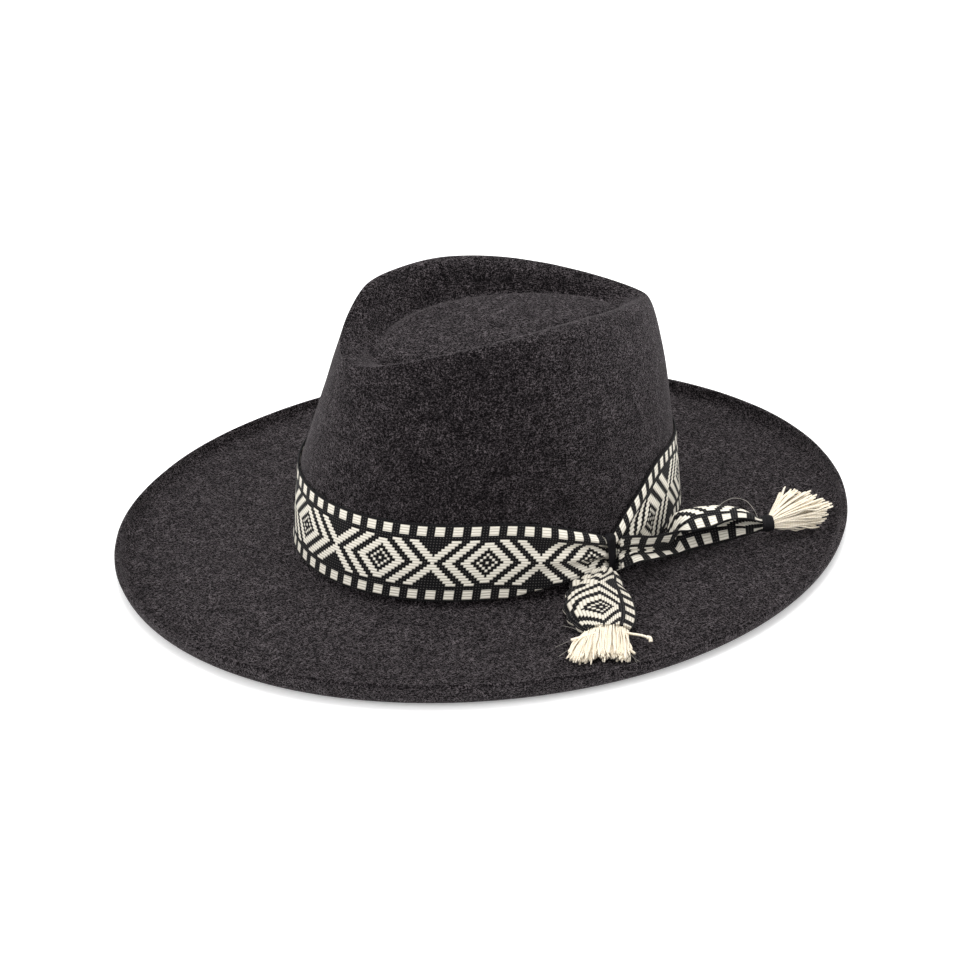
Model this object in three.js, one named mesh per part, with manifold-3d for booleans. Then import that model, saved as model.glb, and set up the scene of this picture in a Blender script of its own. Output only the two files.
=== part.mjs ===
// A wide brimmed felt hat with a woven ribbon band that is knotted at the wearer's left.
// Millimetres, +Z up. The front of the hat faces -Y and the wearer's left is +X.
// The origin lies under the middle of the brim, on the surface that the brim rests on.
// Angles round the hat are in degrees from the back (+Y) toward the wearer's left (+X).

import * as THREE from 'three';
import { LoftGeometry } from 'three/addons/geometries/LoftGeometry.js';
import { mergeVertices } from 'three/addons/utils/BufferGeometryUtils.js';
import Module from 'manifold-3d';

// Felt sizes. The brim falls a little from the crown's foot to its flat outer part.
const FELT = 2.6;
const BRIM_HALF_WIDTH = 173.0;
const BRIM_HALF_LENGTH = 190.6;
const LIP_BEND_RADIUS = 4.5;
const LIP_BEND_ANGLE = 75;
const BRIM_FALL = 1.7;
const BRIM_FALL_REACH = 0.5;
const CROWN_SHIFT = 3.0;
const FILLET = 4.0;
const FOOT_HALF_WIDTH = 86.2;
const FOOT_HALF_LENGTH = 101.3;
const WAIST_HALF_WIDTH = 85.0;
const WAIST_HALF_LENGTH = 97.3;
const WAIST_SHIFT = 1.0;
const WAIST_HEIGHT = 46.7;
const SHOULDER_POWER = 2.4;

// The upturned edge beyond its bend: taller at the front, most at the front left
const LIP = [
  { angle: 0, straight: 2.0 },
  { angle: 60, straight: 1.6 },
  { angle: 90, straight: 2.4 },
  { angle: 115, straight: 5.6 },
  { angle: 140, straight: 6.0 },
  { angle: 165, straight: 4.2 },
  { angle: 200, straight: 2.4 },
  { angle: 245, straight: 0.8 },
  { angle: 290, straight: 1.2 },
  { angle: 330, straight: 2.0 },
  { angle: 360, straight: 2.0 },
];

// How much of the way in from the waist to the crest is a straight slope: little at the round
// back, nearly all at the pinched front
const SHOULDER_TAPER = [
  { angle: 0, taper: 0.3 },
  { angle: 90, taper: 0.45 },
  { angle: 130, taper: 0.95 },
  { angle: 155, taper: 1.0 },
  { angle: 180, taper: 1.0 },
];

// The crest is the rim of the crown's dent. Each row is one harmonic of its loop.
const CREST = [
  { order: 0, side: 0, along: 8.4, height: 119.3 },
  { order: 1, side: 50.0, along: 85.2, height: -2.4 },
  { order: 2, side: -2.1, along: 4.0, height: -9.3 },
  { order: 3, side: -3.6, along: 0, height: 0 },
];
const DENT_SLOPE_WIDTH = 24;
const DENT_CENTRE = 6;
const DENT_FLOOR = 113.7;
const DENT_FALL = 9;
const DENT_REACH = 80;
const DENT_SIDE_FALL = 0.8;

// Sizes of the ribbon and the knot. The knot's inner and outer sizes are measured off the felt.
const RIBBON = 1.2;
const GAP = 0.4;
const PLEATS = 2;
const KNOT_ANGLE = 82;
const KNOT_LOW = 8.0;
const KNOT_HIGH = 29.4;
const KNOT_INNER = 1.7;
const KNOT_OUTER = 6.7;
const KNOT_WIDTH = 4.6;
const KNOT_SQUARENESS = 5;
const KNOT_BEVEL = 0.5;
const THREAD = 0.9;

// The band along its length: heights of its borders, how far it stands off the felt and how
// thick it is gathered. The rows run from the back round over the left, the front and the right.
const BAND = [
  { angle: 0, low: 8.1, high: 48.2, off: 0, thick: 1.2, ripple: 0 },
  { angle: 30, low: 8.3, high: 49.2, off: 0, thick: 1.2, ripple: 0 },
  { angle: 50, low: 11.2, high: 52.2, off: 0, thick: 1.2, ripple: 0 },
  { angle: 58, low: 11.7, high: 50.7, off: 0.2, thick: 1.2, ripple: 0.1 },
  { angle: 66, low: 10.7, high: 44.2, off: 0.8, thick: 1.3, ripple: 0.4 },
  { angle: 74, low: 9.5, high: 35.2, off: 1.8, thick: 2.0, ripple: 0.6 },
  { angle: 79, low: 9.3, high: 28.1, off: 2.1, thick: 3.0, ripple: 0 },
  { angle: 85, low: 9.3, high: 28.1, off: 2.1, thick: 3.0, ripple: 0 },
  { angle: 92, low: 8.5, high: 36.2, off: 1.6, thick: 2.0, ripple: 0.6 },
  { angle: 101, low: 8.3, high: 42.7, off: 0.6, thick: 1.3, ripple: 0.4 },
  { angle: 112, low: 8.1, high: 46.7, off: 0, thick: 1.2, ripple: 0 },
  { angle: 126, low: 8.1, high: 47.7, off: 0, thick: 1.2, ripple: 0 },
  { angle: 250, low: 8.1, high: 47.2, off: 0, thick: 1.2, ripple: 0 },
  { angle: 330, low: 8.1, high: 47.9, off: 0, thick: 1.2, ripple: 0 },
  { angle: 360, low: 8.1, high: 48.2, off: 0, thick: 1.2, ripple: 0 },
];

// Cuts through the long tail, from the knot to its tied end
const LONG_TAIL = [
  { x: 95.0, y: 21.6, z: 14.9, halfWidth: 3.4, halfHeight: 7.6, from: 35, to: 325 },
  { x: 94.2, y: 35.0, z: 14.7, halfWidth: 6.2, halfHeight: 7.0, from: 35, to: 325 },
  { x: 90.2, y: 50.0, z: 14.9, halfWidth: 8.8, halfHeight: 6.8, from: 30, to: 328 },
  { x: 87.6, y: 66.0, z: 15.3, halfWidth: 10.2, halfHeight: 6.6, from: 28, to: 330 },
  { x: 89.4, y: 81.0, z: 15.7, halfWidth: 10.0, halfHeight: 6.4, from: 28, to: 330 },
  { x: 94.6, y: 93.5, z: 15.7, halfWidth: 6.8, halfHeight: 5.4, from: 28, to: 330 },
  { x: 98.4, y: 99.6, z: 15.7, halfWidth: 3.2, halfHeight: 3.2, from: 15, to: 340 },
  { x: 99.8, y: 102.4, z: 15.7, halfWidth: 1.9, halfHeight: 1.9, from: 15, to: 340 },
  { x: 101.4, y: 106.6, z: 15.7, halfWidth: 1.9, halfHeight: 1.9, from: 15, to: 340 },
];

// Cuts through the short tail, from the knot out over the brim to its frayed end
const SHORT_TAIL = [
  { x: 93.9, y: 14.4, z: 14.7, halfWidth: 2.6, halfHeight: 3.6, from: -10, to: 190 },
  { x: 98.6, y: 9.8, z: 13.7, halfWidth: 6.4, halfHeight: 5.4, from: -15, to: 195 },
  { x: 104.0, y: 4.4, z: 12.7, halfWidth: 11.5, halfHeight: 7.6, from: -25, to: 205 },
  { x: 112.0, y: -0.6, z: 11.3, halfWidth: 14.6, halfHeight: 8.4, from: -28, to: 208 },
  { x: 121.0, y: -5.4, z: 10.5, halfWidth: 14.6, halfHeight: 7.8, from: -25, to: 205 },
  { x: 129.0, y: -9.8, z: 9.7, halfWidth: 11.6, halfHeight: 6.0, from: -15, to: 195 },
  { x: 134.0, y: -12.6, z: 9.3, halfWidth: 9.4, halfHeight: 4.4, from: -10, to: 190 },
];
const TAIL_ROWS = 10;
const END_ROUNDING = 0.5;

// The tie's sleeve, the places and headings of both frayed ends, and how far past the middle of
// the tie the long one starts
const TIE_LENGTH = 5.6;
const TIE_INNER = 3.0;
const TIE_OUTER = 3.7;
const TIE_BEVEL = 0.4;
const TIE_SIDES = 16;
const LONG_END = { x: 100.7, y: 104.8, z: 15.7, heading: 70, tassel: 1.75 };
const SHORT_END = { x: 130.7, y: -10.6, z: 9.3, heading: -30 };

// The frayed ends. Each row is one lock: where it leaves the head, and where its cut end lies
// along, beside and above the head.
const LONG_TASSEL = {
  headLength: 6,
  headHalfWidth: 2.4,
  headHalfHeight: 2.4,
  lockRadius: 2.0,
  locks: [
    { reach: 20, side: 26, up: 6, root: 1 },
    { reach: 25, side: 22, up: 5, root: 1 },
    { reach: 29, side: 24, up: 0, root: 1 },
    { reach: 31, side: 17, up: 2, root: 0.5 },
    { reach: 34, side: 13, up: 1, root: 0 },
    { reach: 36, side: 12, up: -4, root: 0 },
    { reach: 35, side: 16, up: -3, root: 0.5 },
    { reach: 33, side: 9, up: -7, root: -0.5 },
    { reach: 28, side: 6, up: -6, root: -1 },
  ],
};
const SHORT_TASSEL = {
  headLength: 8,
  headHalfWidth: 8.3,
  headHalfHeight: 3.4,
  lockRadius: 1.9,
  locks: [
    { reach: 18, side: -15.5, up: -1.5, root: -6 },
    { reach: 25, side: -15, up: -2.4, root: -5 },
    { reach: 30, side: -13.5, up: -2.4, root: -4 },
    { reach: 28, side: -10, up: -2.2, root: -3 },
    { reach: 27, side: -6.5, up: -1.2, root: -1.5 },
    { reach: 26.5, side: -3, up: -2.4, root: 0 },
    { reach: 26.5, side: 0, up: -1.2, root: 1.5 },
    { reach: 27, side: 3, up: -2.4, root: 3 },
    { reach: 28, side: 5.6, up: -1.4, root: 4.2 },
    { reach: 30, side: 8.2, up: -2.2, root: 5.5 },
  ],
};
const LOCK_CUTS = [
  { t: 0, size: 0.6 },
  { t: 0.35, size: 0.9 },
  { t: 0.7, size: 1 },
  { t: 1, size: 0.75 },
];
const LOCK_SIDES = 6;
const LOCK_FLARE = 1.3;

const FELT_STEPS = 64;
const BAND_STEPS = 72;
const BAND_ROWS = 6;
const BAND_BUNCHING = 0.4;
const KNOT_STEPS = 20;

// Rows of the felt's upper side, from the middle of the crown out to the brim's edge, and which
// of them its under side repeats
const UPPER_ROWS = [
  { zone: 'floor', t: 0.0, under: true },
  { zone: 'floor', t: 0.45, under: true },
  { zone: 'floor', t: 1.0, under: true },
  { zone: 'slope', t: 0.25, under: false },
  { zone: 'slope', t: 0.5, under: true },
  { zone: 'slope', t: 0.72, under: false },
  { zone: 'slope', t: 0.88, under: true },
  { zone: 'shoulder', t: 0.0, under: false },
  { zone: 'shoulder', t: 0.14, under: true },
  { zone: 'shoulder', t: 0.3, under: false },
  { zone: 'shoulder', t: 0.46, under: true },
  { zone: 'shoulder', t: 0.64, under: false },
  { zone: 'shoulder', t: 0.82, under: true },
  { zone: 'wall', t: 0.0, under: true },
  { zone: 'wall', t: 0.5, under: false },
  { zone: 'wall', t: 1.0, under: true },
  { zone: 'fillet', t: 0.5, under: false },
  { zone: 'fillet', t: 1.0, under: true },
  { zone: 'brim', t: 0.12, under: true },
  { zone: 'brim', t: 0.5, under: true },
  { zone: 'brim', t: 0.88, under: true },
  { zone: 'brim', t: 1.0, under: true },
  { zone: 'bend', t: 0.5, under: true },
  { zone: 'bend', t: 1.0, under: true },
  { zone: 'lip', t: 1.0, under: true },
];

const radians = THREE.MathUtils.degToRad;
const clamp = THREE.MathUtils.clamp;

// A point on an oval round the crown's axis
function oval(angle, halfWidth, halfLength, shift, height) {
  const turn = radians(angle);
  const x = halfWidth * Math.sin(turn);
  const y = halfLength * Math.cos(turn) + shift;
  return new THREE.Vector3(x, y, height);
}

function crestPoint(angle) {
  const point = new THREE.Vector3();
  for (const row of CREST) {
    const turn = radians(angle * row.order);
    point.x += row.side * Math.sin(turn);
    point.y += row.along * Math.cos(turn);
    point.z += row.height * Math.cos(turn);
  }
  return point;
}

// The height of the dent's floor, which is raised in the middle and falls to the front and back
function floorHeight(x, y) {
  const reach = Math.hypot(x * DENT_SIDE_FALL, y - DENT_CENTRE) / DENT_REACH;
  return DENT_FLOOR - DENT_FALL * reach * reach;
}

// Inside the crest: share 0 at the dent's middle, 1 at the crest
function dentPoint(angle, inward) {
  const crest = crestPoint(angle);
  const middle = new THREE.Vector3(0, DENT_CENTRE, crest.z);
  const length = crest.distanceTo(middle);
  const point = crest.clone().lerp(middle, inward / length);
  const floor = floorHeight(point.x, point.y);
  const turn = clamp(inward / DENT_SLOPE_WIDTH, 0, 1) * Math.PI;
  const share = 0.5 + 0.5 * Math.cos(turn);
  point.z = floor + (crest.z - floor) * share;
  return point;
}

function waistPoint(angle) {
  return oval(angle, WAIST_HALF_WIDTH, WAIST_HALF_LENGTH, CROWN_SHIFT + WAIST_SHIFT, WAIST_HEIGHT);
}

function footPoint(angle) {
  return oval(angle, FOOT_HALF_WIDTH, FOOT_HALF_LENGTH, CROWN_SHIFT, FELT + FILLET + BRIM_FALL);
}

// The wall between the foot and the waist, at a given height
function wallPoint(angle, height) {
  const foot = footPoint(angle);
  const waist = waistPoint(angle);
  return foot.lerp(waist, (height - foot.z) / (waist.z - foot.z));
}

// The rounded shoulder from the crest (t = 0) down to the waist (t = 1)
function shoulderPoint(angle, t) {
  const crest = crestPoint(angle);
  const waist = waistPoint(angle);
  const turn = (1 - t) * Math.PI / 2;
  const rise = Math.pow(Math.sin(turn), 2 / SHOULDER_POWER);
  const round = 1 - Math.pow(Math.cos(turn), 2 / SHOULDER_POWER);
  const taper = column(SHOULDER_TAPER, 'taper', 'angle', 180 - Math.abs(180 - angle));
  const inward = taper * rise + (1 - taper) * round;
  const point = waist.clone().lerp(crest, inward);
  point.z = waist.z + (crest.z - waist.z) * rise;
  return point;
}

// The direction out of the oval foot, level with the ground
function outward(angle) {
  const turn = radians(angle);
  const out = new THREE.Vector3(Math.sin(turn) / FOOT_HALF_WIDTH, Math.cos(turn) / FOOT_HALF_LENGTH, 0);
  return out.normalize();
}

function brimPoint(angle, zone, t) {
  const foot = footPoint(angle);
  const out = outward(angle);
  const inner = foot.clone().addScaledVector(out, FILLET);
  const bend = radians(LIP_BEND_ANGLE);
  const lip = column(LIP, 'straight', 'angle', angle);
  const lipReach = LIP_BEND_RADIUS * Math.sin(bend) + lip * Math.cos(bend);
  const edgeInset = lipReach + FELT * Math.sin(bend);
  const outer = oval(angle, BRIM_HALF_WIDTH - edgeInset, BRIM_HALF_LENGTH - edgeInset, 0, FELT);
  const rim = new THREE.Vector3().subVectors(outer, inner).setZ(0).normalize();
  if (zone === 'fillet') {
    const turn = t * Math.PI / 2;
    const point = foot.clone().addScaledVector(out, FILLET * (1 - Math.cos(turn)));
    point.z = FELT + BRIM_FALL + FILLET * (1 - Math.sin(turn));
    return point;
  }
  if (zone === 'brim') {
    const point = inner.clone().lerp(outer, t);
    const fall = (1 + Math.cos(Math.PI * Math.min(t / BRIM_FALL_REACH, 1))) / 2;
    point.z = FELT + BRIM_FALL * fall;
    return point;
  }
  const turn = zone === 'bend' ? bend * t : bend;
  const straight = zone === 'lip' ? lip * t : 0;
  const reach = LIP_BEND_RADIUS * Math.sin(turn) + straight * Math.cos(turn);
  const point = outer.clone().addScaledVector(rim, reach);
  point.z = FELT + LIP_BEND_RADIUS * (1 - Math.cos(turn)) + straight * Math.sin(turn);
  return point;
}

// A point on the felt's upper side
function upperPoint(angle, row) {
  const crest = crestPoint(angle);
  const length = crest.distanceTo(new THREE.Vector3(0, DENT_CENTRE, crest.z));
  if (row.zone === 'floor') {
    return dentPoint(angle, length + (DENT_SLOPE_WIDTH - length) * row.t);
  }
  if (row.zone === 'slope') {
    return dentPoint(angle, DENT_SLOPE_WIDTH * (1 - row.t));
  }
  if (row.zone === 'shoulder') {
    return shoulderPoint(angle, row.t);
  }
  if (row.zone === 'wall') {
    return wallPoint(angle, WAIST_HEIGHT + (footPoint(angle).z - WAIST_HEIGHT) * row.t);
  }
  return brimPoint(angle, row.zone, row.t);
}

// Joins the seams of a grid and drops the flat triangles at its poles, with the faces turned out
function closedBody(geometry) {
  const grid = new THREE.BufferGeometry();
  grid.setAttribute('position', geometry.attributes.position);
  grid.setIndex(geometry.index);
  const body = mergeVertices(grid, 1e-3);
  const index = body.index.array;
  const kept = [];
  let volume = 0;
  const a = new THREE.Vector3();
  const b = new THREE.Vector3();
  const c = new THREE.Vector3();
  for (let i = 0; i < index.length; i += 3) {
    const [i0, i1, i2] = index.slice(i, i + 3);
    if (i0 === i1 || i1 === i2 || i2 === i0) continue;
    kept.push(i0, i1, i2);
    a.fromBufferAttribute(body.attributes.position, i0);
    b.fromBufferAttribute(body.attributes.position, i1);
    c.fromBufferAttribute(body.attributes.position, i2);
    volume += a.dot(b.cross(c));
  }
  body.setIndex(volume > 0 ? kept : kept.reverse());
  body.computeVertexNormals();
  return body;
}

// A named mesh in its own plain material
function piece(name, geometry, color, roughness) {
  const material = new THREE.MeshStandardMaterial({ color, roughness, metalness: 0 });
  const mesh = new THREE.Mesh(geometry, material);
  mesh.name = name;
  return mesh;
}

// Reads a column of a table at any position between its rows, as a smooth curve
function column(table, name, key, at) {
  let i = 0;
  while (i < table.length - 2 && at > table[i + 1][key]) i += 1;
  const row = (k) => table[clamp(k, 0, table.length - 1)];
  const slope = (k) => (row(k + 1)[name] - row(k - 1)[name]) / (row(k + 1)[key] - row(k - 1)[key]);
  const span = row(i + 1)[key] - row(i)[key];
  const t = (at - row(i)[key]) / span;
  const start = (1 + 2 * t) * (1 - t) ** 2 * row(i)[name] + t * (1 - t) ** 2 * span * slope(i);
  const end = t * t * (3 - 2 * t) * row(i + 1)[name] + t * t * (t - 1) * span * slope(i + 1);
  return start + end;
}

// The felt: rings down the upper side, round the brim's edge and back along the under side
function feltGeometry() {
  const angles = Array.from({ length: FELT_STEPS }, (_, k) => (k * 360) / FELT_STEPS);
  const upper = UPPER_ROWS.map((row) => angles.map((angle) => upperPoint(angle, row)));
  const normals = upper.map((ring, i) => ring.map((point, k) => {
    const before = ring[(k + FELT_STEPS - 1) % FELT_STEPS];
    const after = ring[(k + 1) % FELT_STEPS];
    const above = upper[Math.max(i - 1, 0)][k];
    const below = upper[Math.min(i + 1, upper.length - 1)][k];
    const around = new THREE.Vector3().subVectors(after, before);
    const down = new THREE.Vector3().subVectors(below, above);
    return i === 0 ? new THREE.Vector3(0, 0, 1) : around.cross(down).normalize();
  }));
  const under = (i) => upper[i].map((point, k) => point.clone().addScaledVector(normals[i][k], -FELT));
  const last = upper.length - 1;
  const edge = upper[last].map((point, k) => {
    const middle = point.clone().addScaledVector(normals[last][k], -FELT / 2);
    const beyond = new THREE.Vector3().subVectors(point, upper[last - 1][k]).normalize();
    return middle.addScaledVector(beyond, FELT / 2);
  });
  const underRows = UPPER_ROWS.map((row, i) => i).filter((i) => UPPER_ROWS[i].under).reverse();
  return closedBody(new LoftGeometry([...upper, edge, ...underRows.map(under)]));
}

// The outline of the ribbon's cut, as a strip from one border to the other and back along its other face
function stripSection(middle, normal, steps, thickness) {
  const face = (side) => Array.from({ length: steps + 1 }, (_, k) => {
    const t = k / steps;
    return middle(t).addScaledVector(normal(t), (side * thickness) / 2);
  });
  return [...face(1), ...face(-1).reverse()];
}

// The band's middle surface: share 0 at the lower border, 1 at the upper one
function bandPoint(angle, share) {
  const low = column(BAND, 'low', 'angle', angle);
  const high = column(BAND, 'high', 'angle', angle);
  const thick = column(BAND, 'thick', 'angle', angle);
  const ripple = column(BAND, 'ripple', 'angle', angle) * Math.sin(share * PLEATS * 2 * Math.PI);
  const off = GAP + column(BAND, 'off', 'angle', angle) + thick / 2 + ripple;
  return wallPoint(angle, low + (high - low) * share).addScaledVector(outward(angle), off);
}

function bandGeometry() {
  const sections = Array.from({ length: BAND_STEPS + 1 }, (_, k) => {
    const share = k / BAND_STEPS;
    const bunched = (BAND_BUNCHING * Math.sin(2 * Math.PI * share)) / (2 * Math.PI);
    const angle = (KNOT_ANGLE + 360 * (share - bunched)) % 360;
    const thick = column(BAND, 'thick', 'angle', angle);
    return stripSection((t) => bandPoint(angle, t), () => outward(angle), BAND_ROWS, thick);
  });
  return closedBody(new LoftGeometry(sections));
}

// The thread wound round the gathered ribbon at the knot: a flat ring that passes behind the band
function knotGeometry() {
  const wall = wallPoint(KNOT_ANGLE, (KNOT_LOW + KNOT_HIGH) / 2);
  const out = outward(KNOT_ANGLE);
  const along = new THREE.Vector3(-out.y, out.x, 0);
  const middleOff = (KNOT_INNER + KNOT_OUTER) / 2;
  const sections = Array.from({ length: KNOT_STEPS + 1 }, (_, k) => {
    const turn = ((k % KNOT_STEPS) / KNOT_STEPS) * 2 * Math.PI;
    const power = (value) => Math.sign(value) * Math.abs(value) ** (2 / KNOT_SQUARENESS);
    const corner = (grow, side) => wall.clone()
      .addScaledVector(out, middleOff + ((KNOT_OUTER - KNOT_INNER) / 2 + grow) * power(Math.cos(turn)))
      .addScaledVector(along, side * (KNOT_WIDTH / 2 - Math.abs(grow - THREAD / 2) * KNOT_BEVEL))
      .add(new THREE.Vector3(0, 0, ((KNOT_HIGH - KNOT_LOW) / 2 + grow) * power(Math.sin(turn))));
    return [corner(0, -1), corner(0, 1), corner(THREAD / 2, 1), corner(THREAD, 1), corner(THREAD, -1),
      corner(THREAD / 2, -1)];
  });
  return closedBody(new LoftGeometry(sections));
}

// A ribbon tail that is curled round its own length. Each row is one cut through it: the middle
// of the curl, its half width and half height, and the turn from one border round to the other.
// Both ends close on the ribbon's middle line.
function tailGeometry(rows) {
  const middles = rows.map((row) => new THREE.Vector3(row.x, row.y, row.z));
  const last = rows.length - 1;
  const cut = (i, thickness, beyond) => {
    const row = rows[i];
    const from = middles[Math.max(i - 1, 0)];
    const to = middles[Math.min(i + 1, last)];
    const along = new THREE.Vector3(to.x - from.x, to.y - from.y, 0).normalize();
    const side = new THREE.Vector3(along.y, -along.x, 0);
    const turn = (t) => radians(row.from + (row.to - row.from) * t);
    const middle = (t) => middles[i].clone()
      .addScaledVector(along, beyond)
      .addScaledVector(side, row.halfWidth * Math.cos(turn(t)))
      .add(new THREE.Vector3(0, 0, row.halfHeight * Math.sin(turn(t))));
    const normal = (t) => side.clone().multiplyScalar(row.halfHeight * Math.cos(turn(t)))
      .add(new THREE.Vector3(0, 0, row.halfWidth * Math.sin(turn(t)))).normalize();
    return stripSection(middle, normal, TAIL_ROWS, thickness);
  };
  const sections = rows.map((row, i) => cut(i, RIBBON, 0));
  return closedBody(new LoftGeometry([cut(0, 0, -END_ROUNDING), ...sections, cut(last, 0, END_ROUNDING)]));
}

// The thread whipped round the end of the long tail: a short sleeve
function tieGeometry() {
  const half = TIE_LENGTH / 2;
  const profile = [
    [TIE_INNER, -half],
    [TIE_OUTER - TIE_BEVEL, -half],
    [TIE_OUTER, -half + 2 * TIE_BEVEL],
    [TIE_OUTER, half - 2 * TIE_BEVEL],
    [TIE_OUTER - TIE_BEVEL, half],
    [TIE_INNER, half],
    [TIE_INNER, -half],
  ].map(([radius, along]) => new THREE.Vector2(radius, along));
  return closedBody(new THREE.LatheGeometry(profile, TIE_SIDES));
}

const wasm = await Module();
wasm.setup();

function solid(geometry) {
  const body = closedBody(geometry);
  return new wasm.Manifold(new wasm.Mesh({
    numProp: 3,
    vertProperties: body.attributes.position.array,
    triVerts: Uint32Array.from(body.index.array),
  }));
}

// One body out of several that overlap
function fused(geometries) {
  const joined = geometries.map(solid).reduce((whole, next) => whole.add(next));
  const mesh = joined.getMesh();
  const geometry = new THREE.BufferGeometry();
  geometry.setAttribute('position', new THREE.Float32BufferAttribute(mesh.vertProperties, 3));
  geometry.setIndex(Array.from(mesh.triVerts));
  geometry.computeVertexNormals();
  return geometry;
}

// One lock from the head to its cut end. Its root row, its flare and its drop come from the table.
function lockGeometry(tassel, lock) {
  const radius = tassel.lockRadius;
  const sections = LOCK_CUTS.map((cut) => {
    const middle = new THREE.Vector3(
      tassel.headLength * 0.5 + (lock.reach - tassel.headLength * 0.5) * cut.t,
      lock.root + (lock.side - lock.root) * cut.t ** LOCK_FLARE,
      lock.up * cut.t ** LOCK_FLARE,
    );
    return Array.from({ length: LOCK_SIDES }, (_, k) => {
      const turn = (k / LOCK_SIDES) * 2 * Math.PI;
      const grow = radius * cut.size;
      return middle.clone().add(new THREE.Vector3(0, grow * Math.cos(turn), grow * Math.sin(turn)));
    });
  });
  return new LoftGeometry(sections, { capStart: true, capEnd: true });
}

// A tassel: tapered locks that fan out of a head, fused into one body
function tasselGeometry(tassel) {
  const head = new THREE.SphereGeometry(1, 12, 8);
  head.scale(tassel.headLength / 2, tassel.headHalfWidth, tassel.headHalfHeight);
  head.translate(tassel.headLength / 2, 0, 0);
  return fused([head, ...tassel.locks.map((lock) => lockGeometry(tassel, lock))]);
}

const felt = piece('felt_body', feltGeometry(), 0x3a3638, 0.95);
const band = piece('hat_band', bandGeometry(), 0x55534f, 0.85);
const knot = piece('knot_wrap', knotGeometry(), 0x141416, 0.8);

const longTail = piece('tail_long', tailGeometry(LONG_TAIL), 0x8a867c, 0.85);
const shortTail = piece('tail_short', tailGeometry(SHORT_TAIL), 0x8a867c, 0.85);

// The tie and the long tassel sit in one group at the end of the long tail
const longEnd = new THREE.Group();
longEnd.position.set(LONG_END.x, LONG_END.y, LONG_END.z);
longEnd.rotation.z = radians(LONG_END.heading);
const tie = piece('tie_long', tieGeometry(), 0x141416, 0.8);
tie.rotation.z = -Math.PI / 2;
longEnd.add(tie);
const longTassel = piece('tassel_long', tasselGeometry(LONG_TASSEL), 0xf0e6d0, 0.9);
longTassel.position.x = LONG_END.tassel;
longEnd.add(longTassel);

const shortTassel = piece('tassel_short', tasselGeometry(SHORT_TASSEL), 0xf0e6d0, 0.9);
shortTassel.position.set(SHORT_END.x, SHORT_END.y, SHORT_END.z);
shortTassel.rotation.z = radians(SHORT_END.heading);

const group = new THREE.Group();
group.add(felt, band, knot, longTail, shortTail, longEnd, shortTassel);
export default group;
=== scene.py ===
# A wide brimmed hat of heathered felt, with a woven ribbon band that is knotted at the wearer's
# left and ends in two frayed tails. Sizes below are in millimetres and turned into metres where a
# mesh is made. Angles round the hat are in degrees from the back (+Y) toward the wearer's left (+X).

import math

import bpy
import numpy as np
from mathutils import Matrix, Vector, noise


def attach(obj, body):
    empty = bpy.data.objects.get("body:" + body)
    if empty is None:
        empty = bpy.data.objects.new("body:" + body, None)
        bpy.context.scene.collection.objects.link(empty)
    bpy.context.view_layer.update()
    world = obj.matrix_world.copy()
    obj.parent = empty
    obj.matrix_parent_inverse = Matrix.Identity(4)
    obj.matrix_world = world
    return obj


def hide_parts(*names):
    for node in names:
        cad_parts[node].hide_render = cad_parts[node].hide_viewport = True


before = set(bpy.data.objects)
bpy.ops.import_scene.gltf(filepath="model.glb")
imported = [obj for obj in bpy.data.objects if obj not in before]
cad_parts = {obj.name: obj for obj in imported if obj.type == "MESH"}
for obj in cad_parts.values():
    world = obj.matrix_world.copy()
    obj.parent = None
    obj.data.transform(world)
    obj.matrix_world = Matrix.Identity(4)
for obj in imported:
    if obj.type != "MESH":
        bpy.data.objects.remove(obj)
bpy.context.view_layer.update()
MM = 0.001

# The camera stands where the photograph was taken: degrees, millimetres and pixels

CAMERA = dict(azimuth=60.1, elevation=26.9, distance=1510.2, pixels=2984.4, roll=-2.0)
TARGET = (1.7, -2.3, 29.0)
IMAGE = 960
SENSOR = 36.0


def make_camera():
    a, e, r = (math.radians(CAMERA[k]) for k in ("azimuth", "elevation", "roll"))
    back = Vector((math.sin(a) * math.cos(e), -math.cos(a) * math.cos(e), math.sin(e)))
    right = Vector((math.cos(a), math.sin(a), 0.0))
    up = back.cross(right)
    right, up = (
        right * math.cos(r) + up * math.sin(r),
        up * math.cos(r) - right * math.sin(r),
    )
    turn = Matrix((right, up, back)).transposed().to_4x4()
    place = Matrix.Translation((Vector(TARGET) + back * CAMERA["distance"]) * MM)
    data = bpy.data.cameras.new("camera")
    data.sensor_width = SENSOR
    data.lens = CAMERA["pixels"] * SENSOR / IMAGE
    data.clip_start, data.clip_end = 0.05, 20.0
    obj = bpy.data.objects.new("camera", data)
    bpy.context.collection.objects.link(obj)
    obj.matrix_world = place @ turn
    bpy.context.scene.camera = obj


make_camera()

# The felt, from the head opening up to the crest and out to the brim's lip

FELT = 2.6
BRIM_HALF_WIDTH = 173.0
BRIM_HALF_LENGTH = 190.6
LIP_BEND_RADIUS = 4.5
LIP_BEND = math.radians(75)
BRIM_FALL = 1.7
BRIM_FALL_REACH = 0.5
CROWN_SHIFT = 3.0
FILLET = 4.0
# half width and half length of the crown at its foot and at its waist
FOOT = (86.2, 101.3)
WAIST = (85.0, 97.3)
WAIST_SHIFT = 1.0
WAIST_HEIGHT = 46.7
SHOULDER_POWER = 2.4
# angle, straight height of the lip
LIP = [(0, 2.0), (60, 1.6), (90, 2.4), (115, 5.6), (140, 6.0), (165, 4.2), (200, 2.4), (245, 0.8),
       (290, 1.2), (330, 2.0), (360, 2.0)]
# angle from the back, how straight the crown's side runs up to the crest
TAPER = [(0, 0.3), (90, 0.45), (130, 0.95), (155, 1.0), (180, 1.0)]
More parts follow.
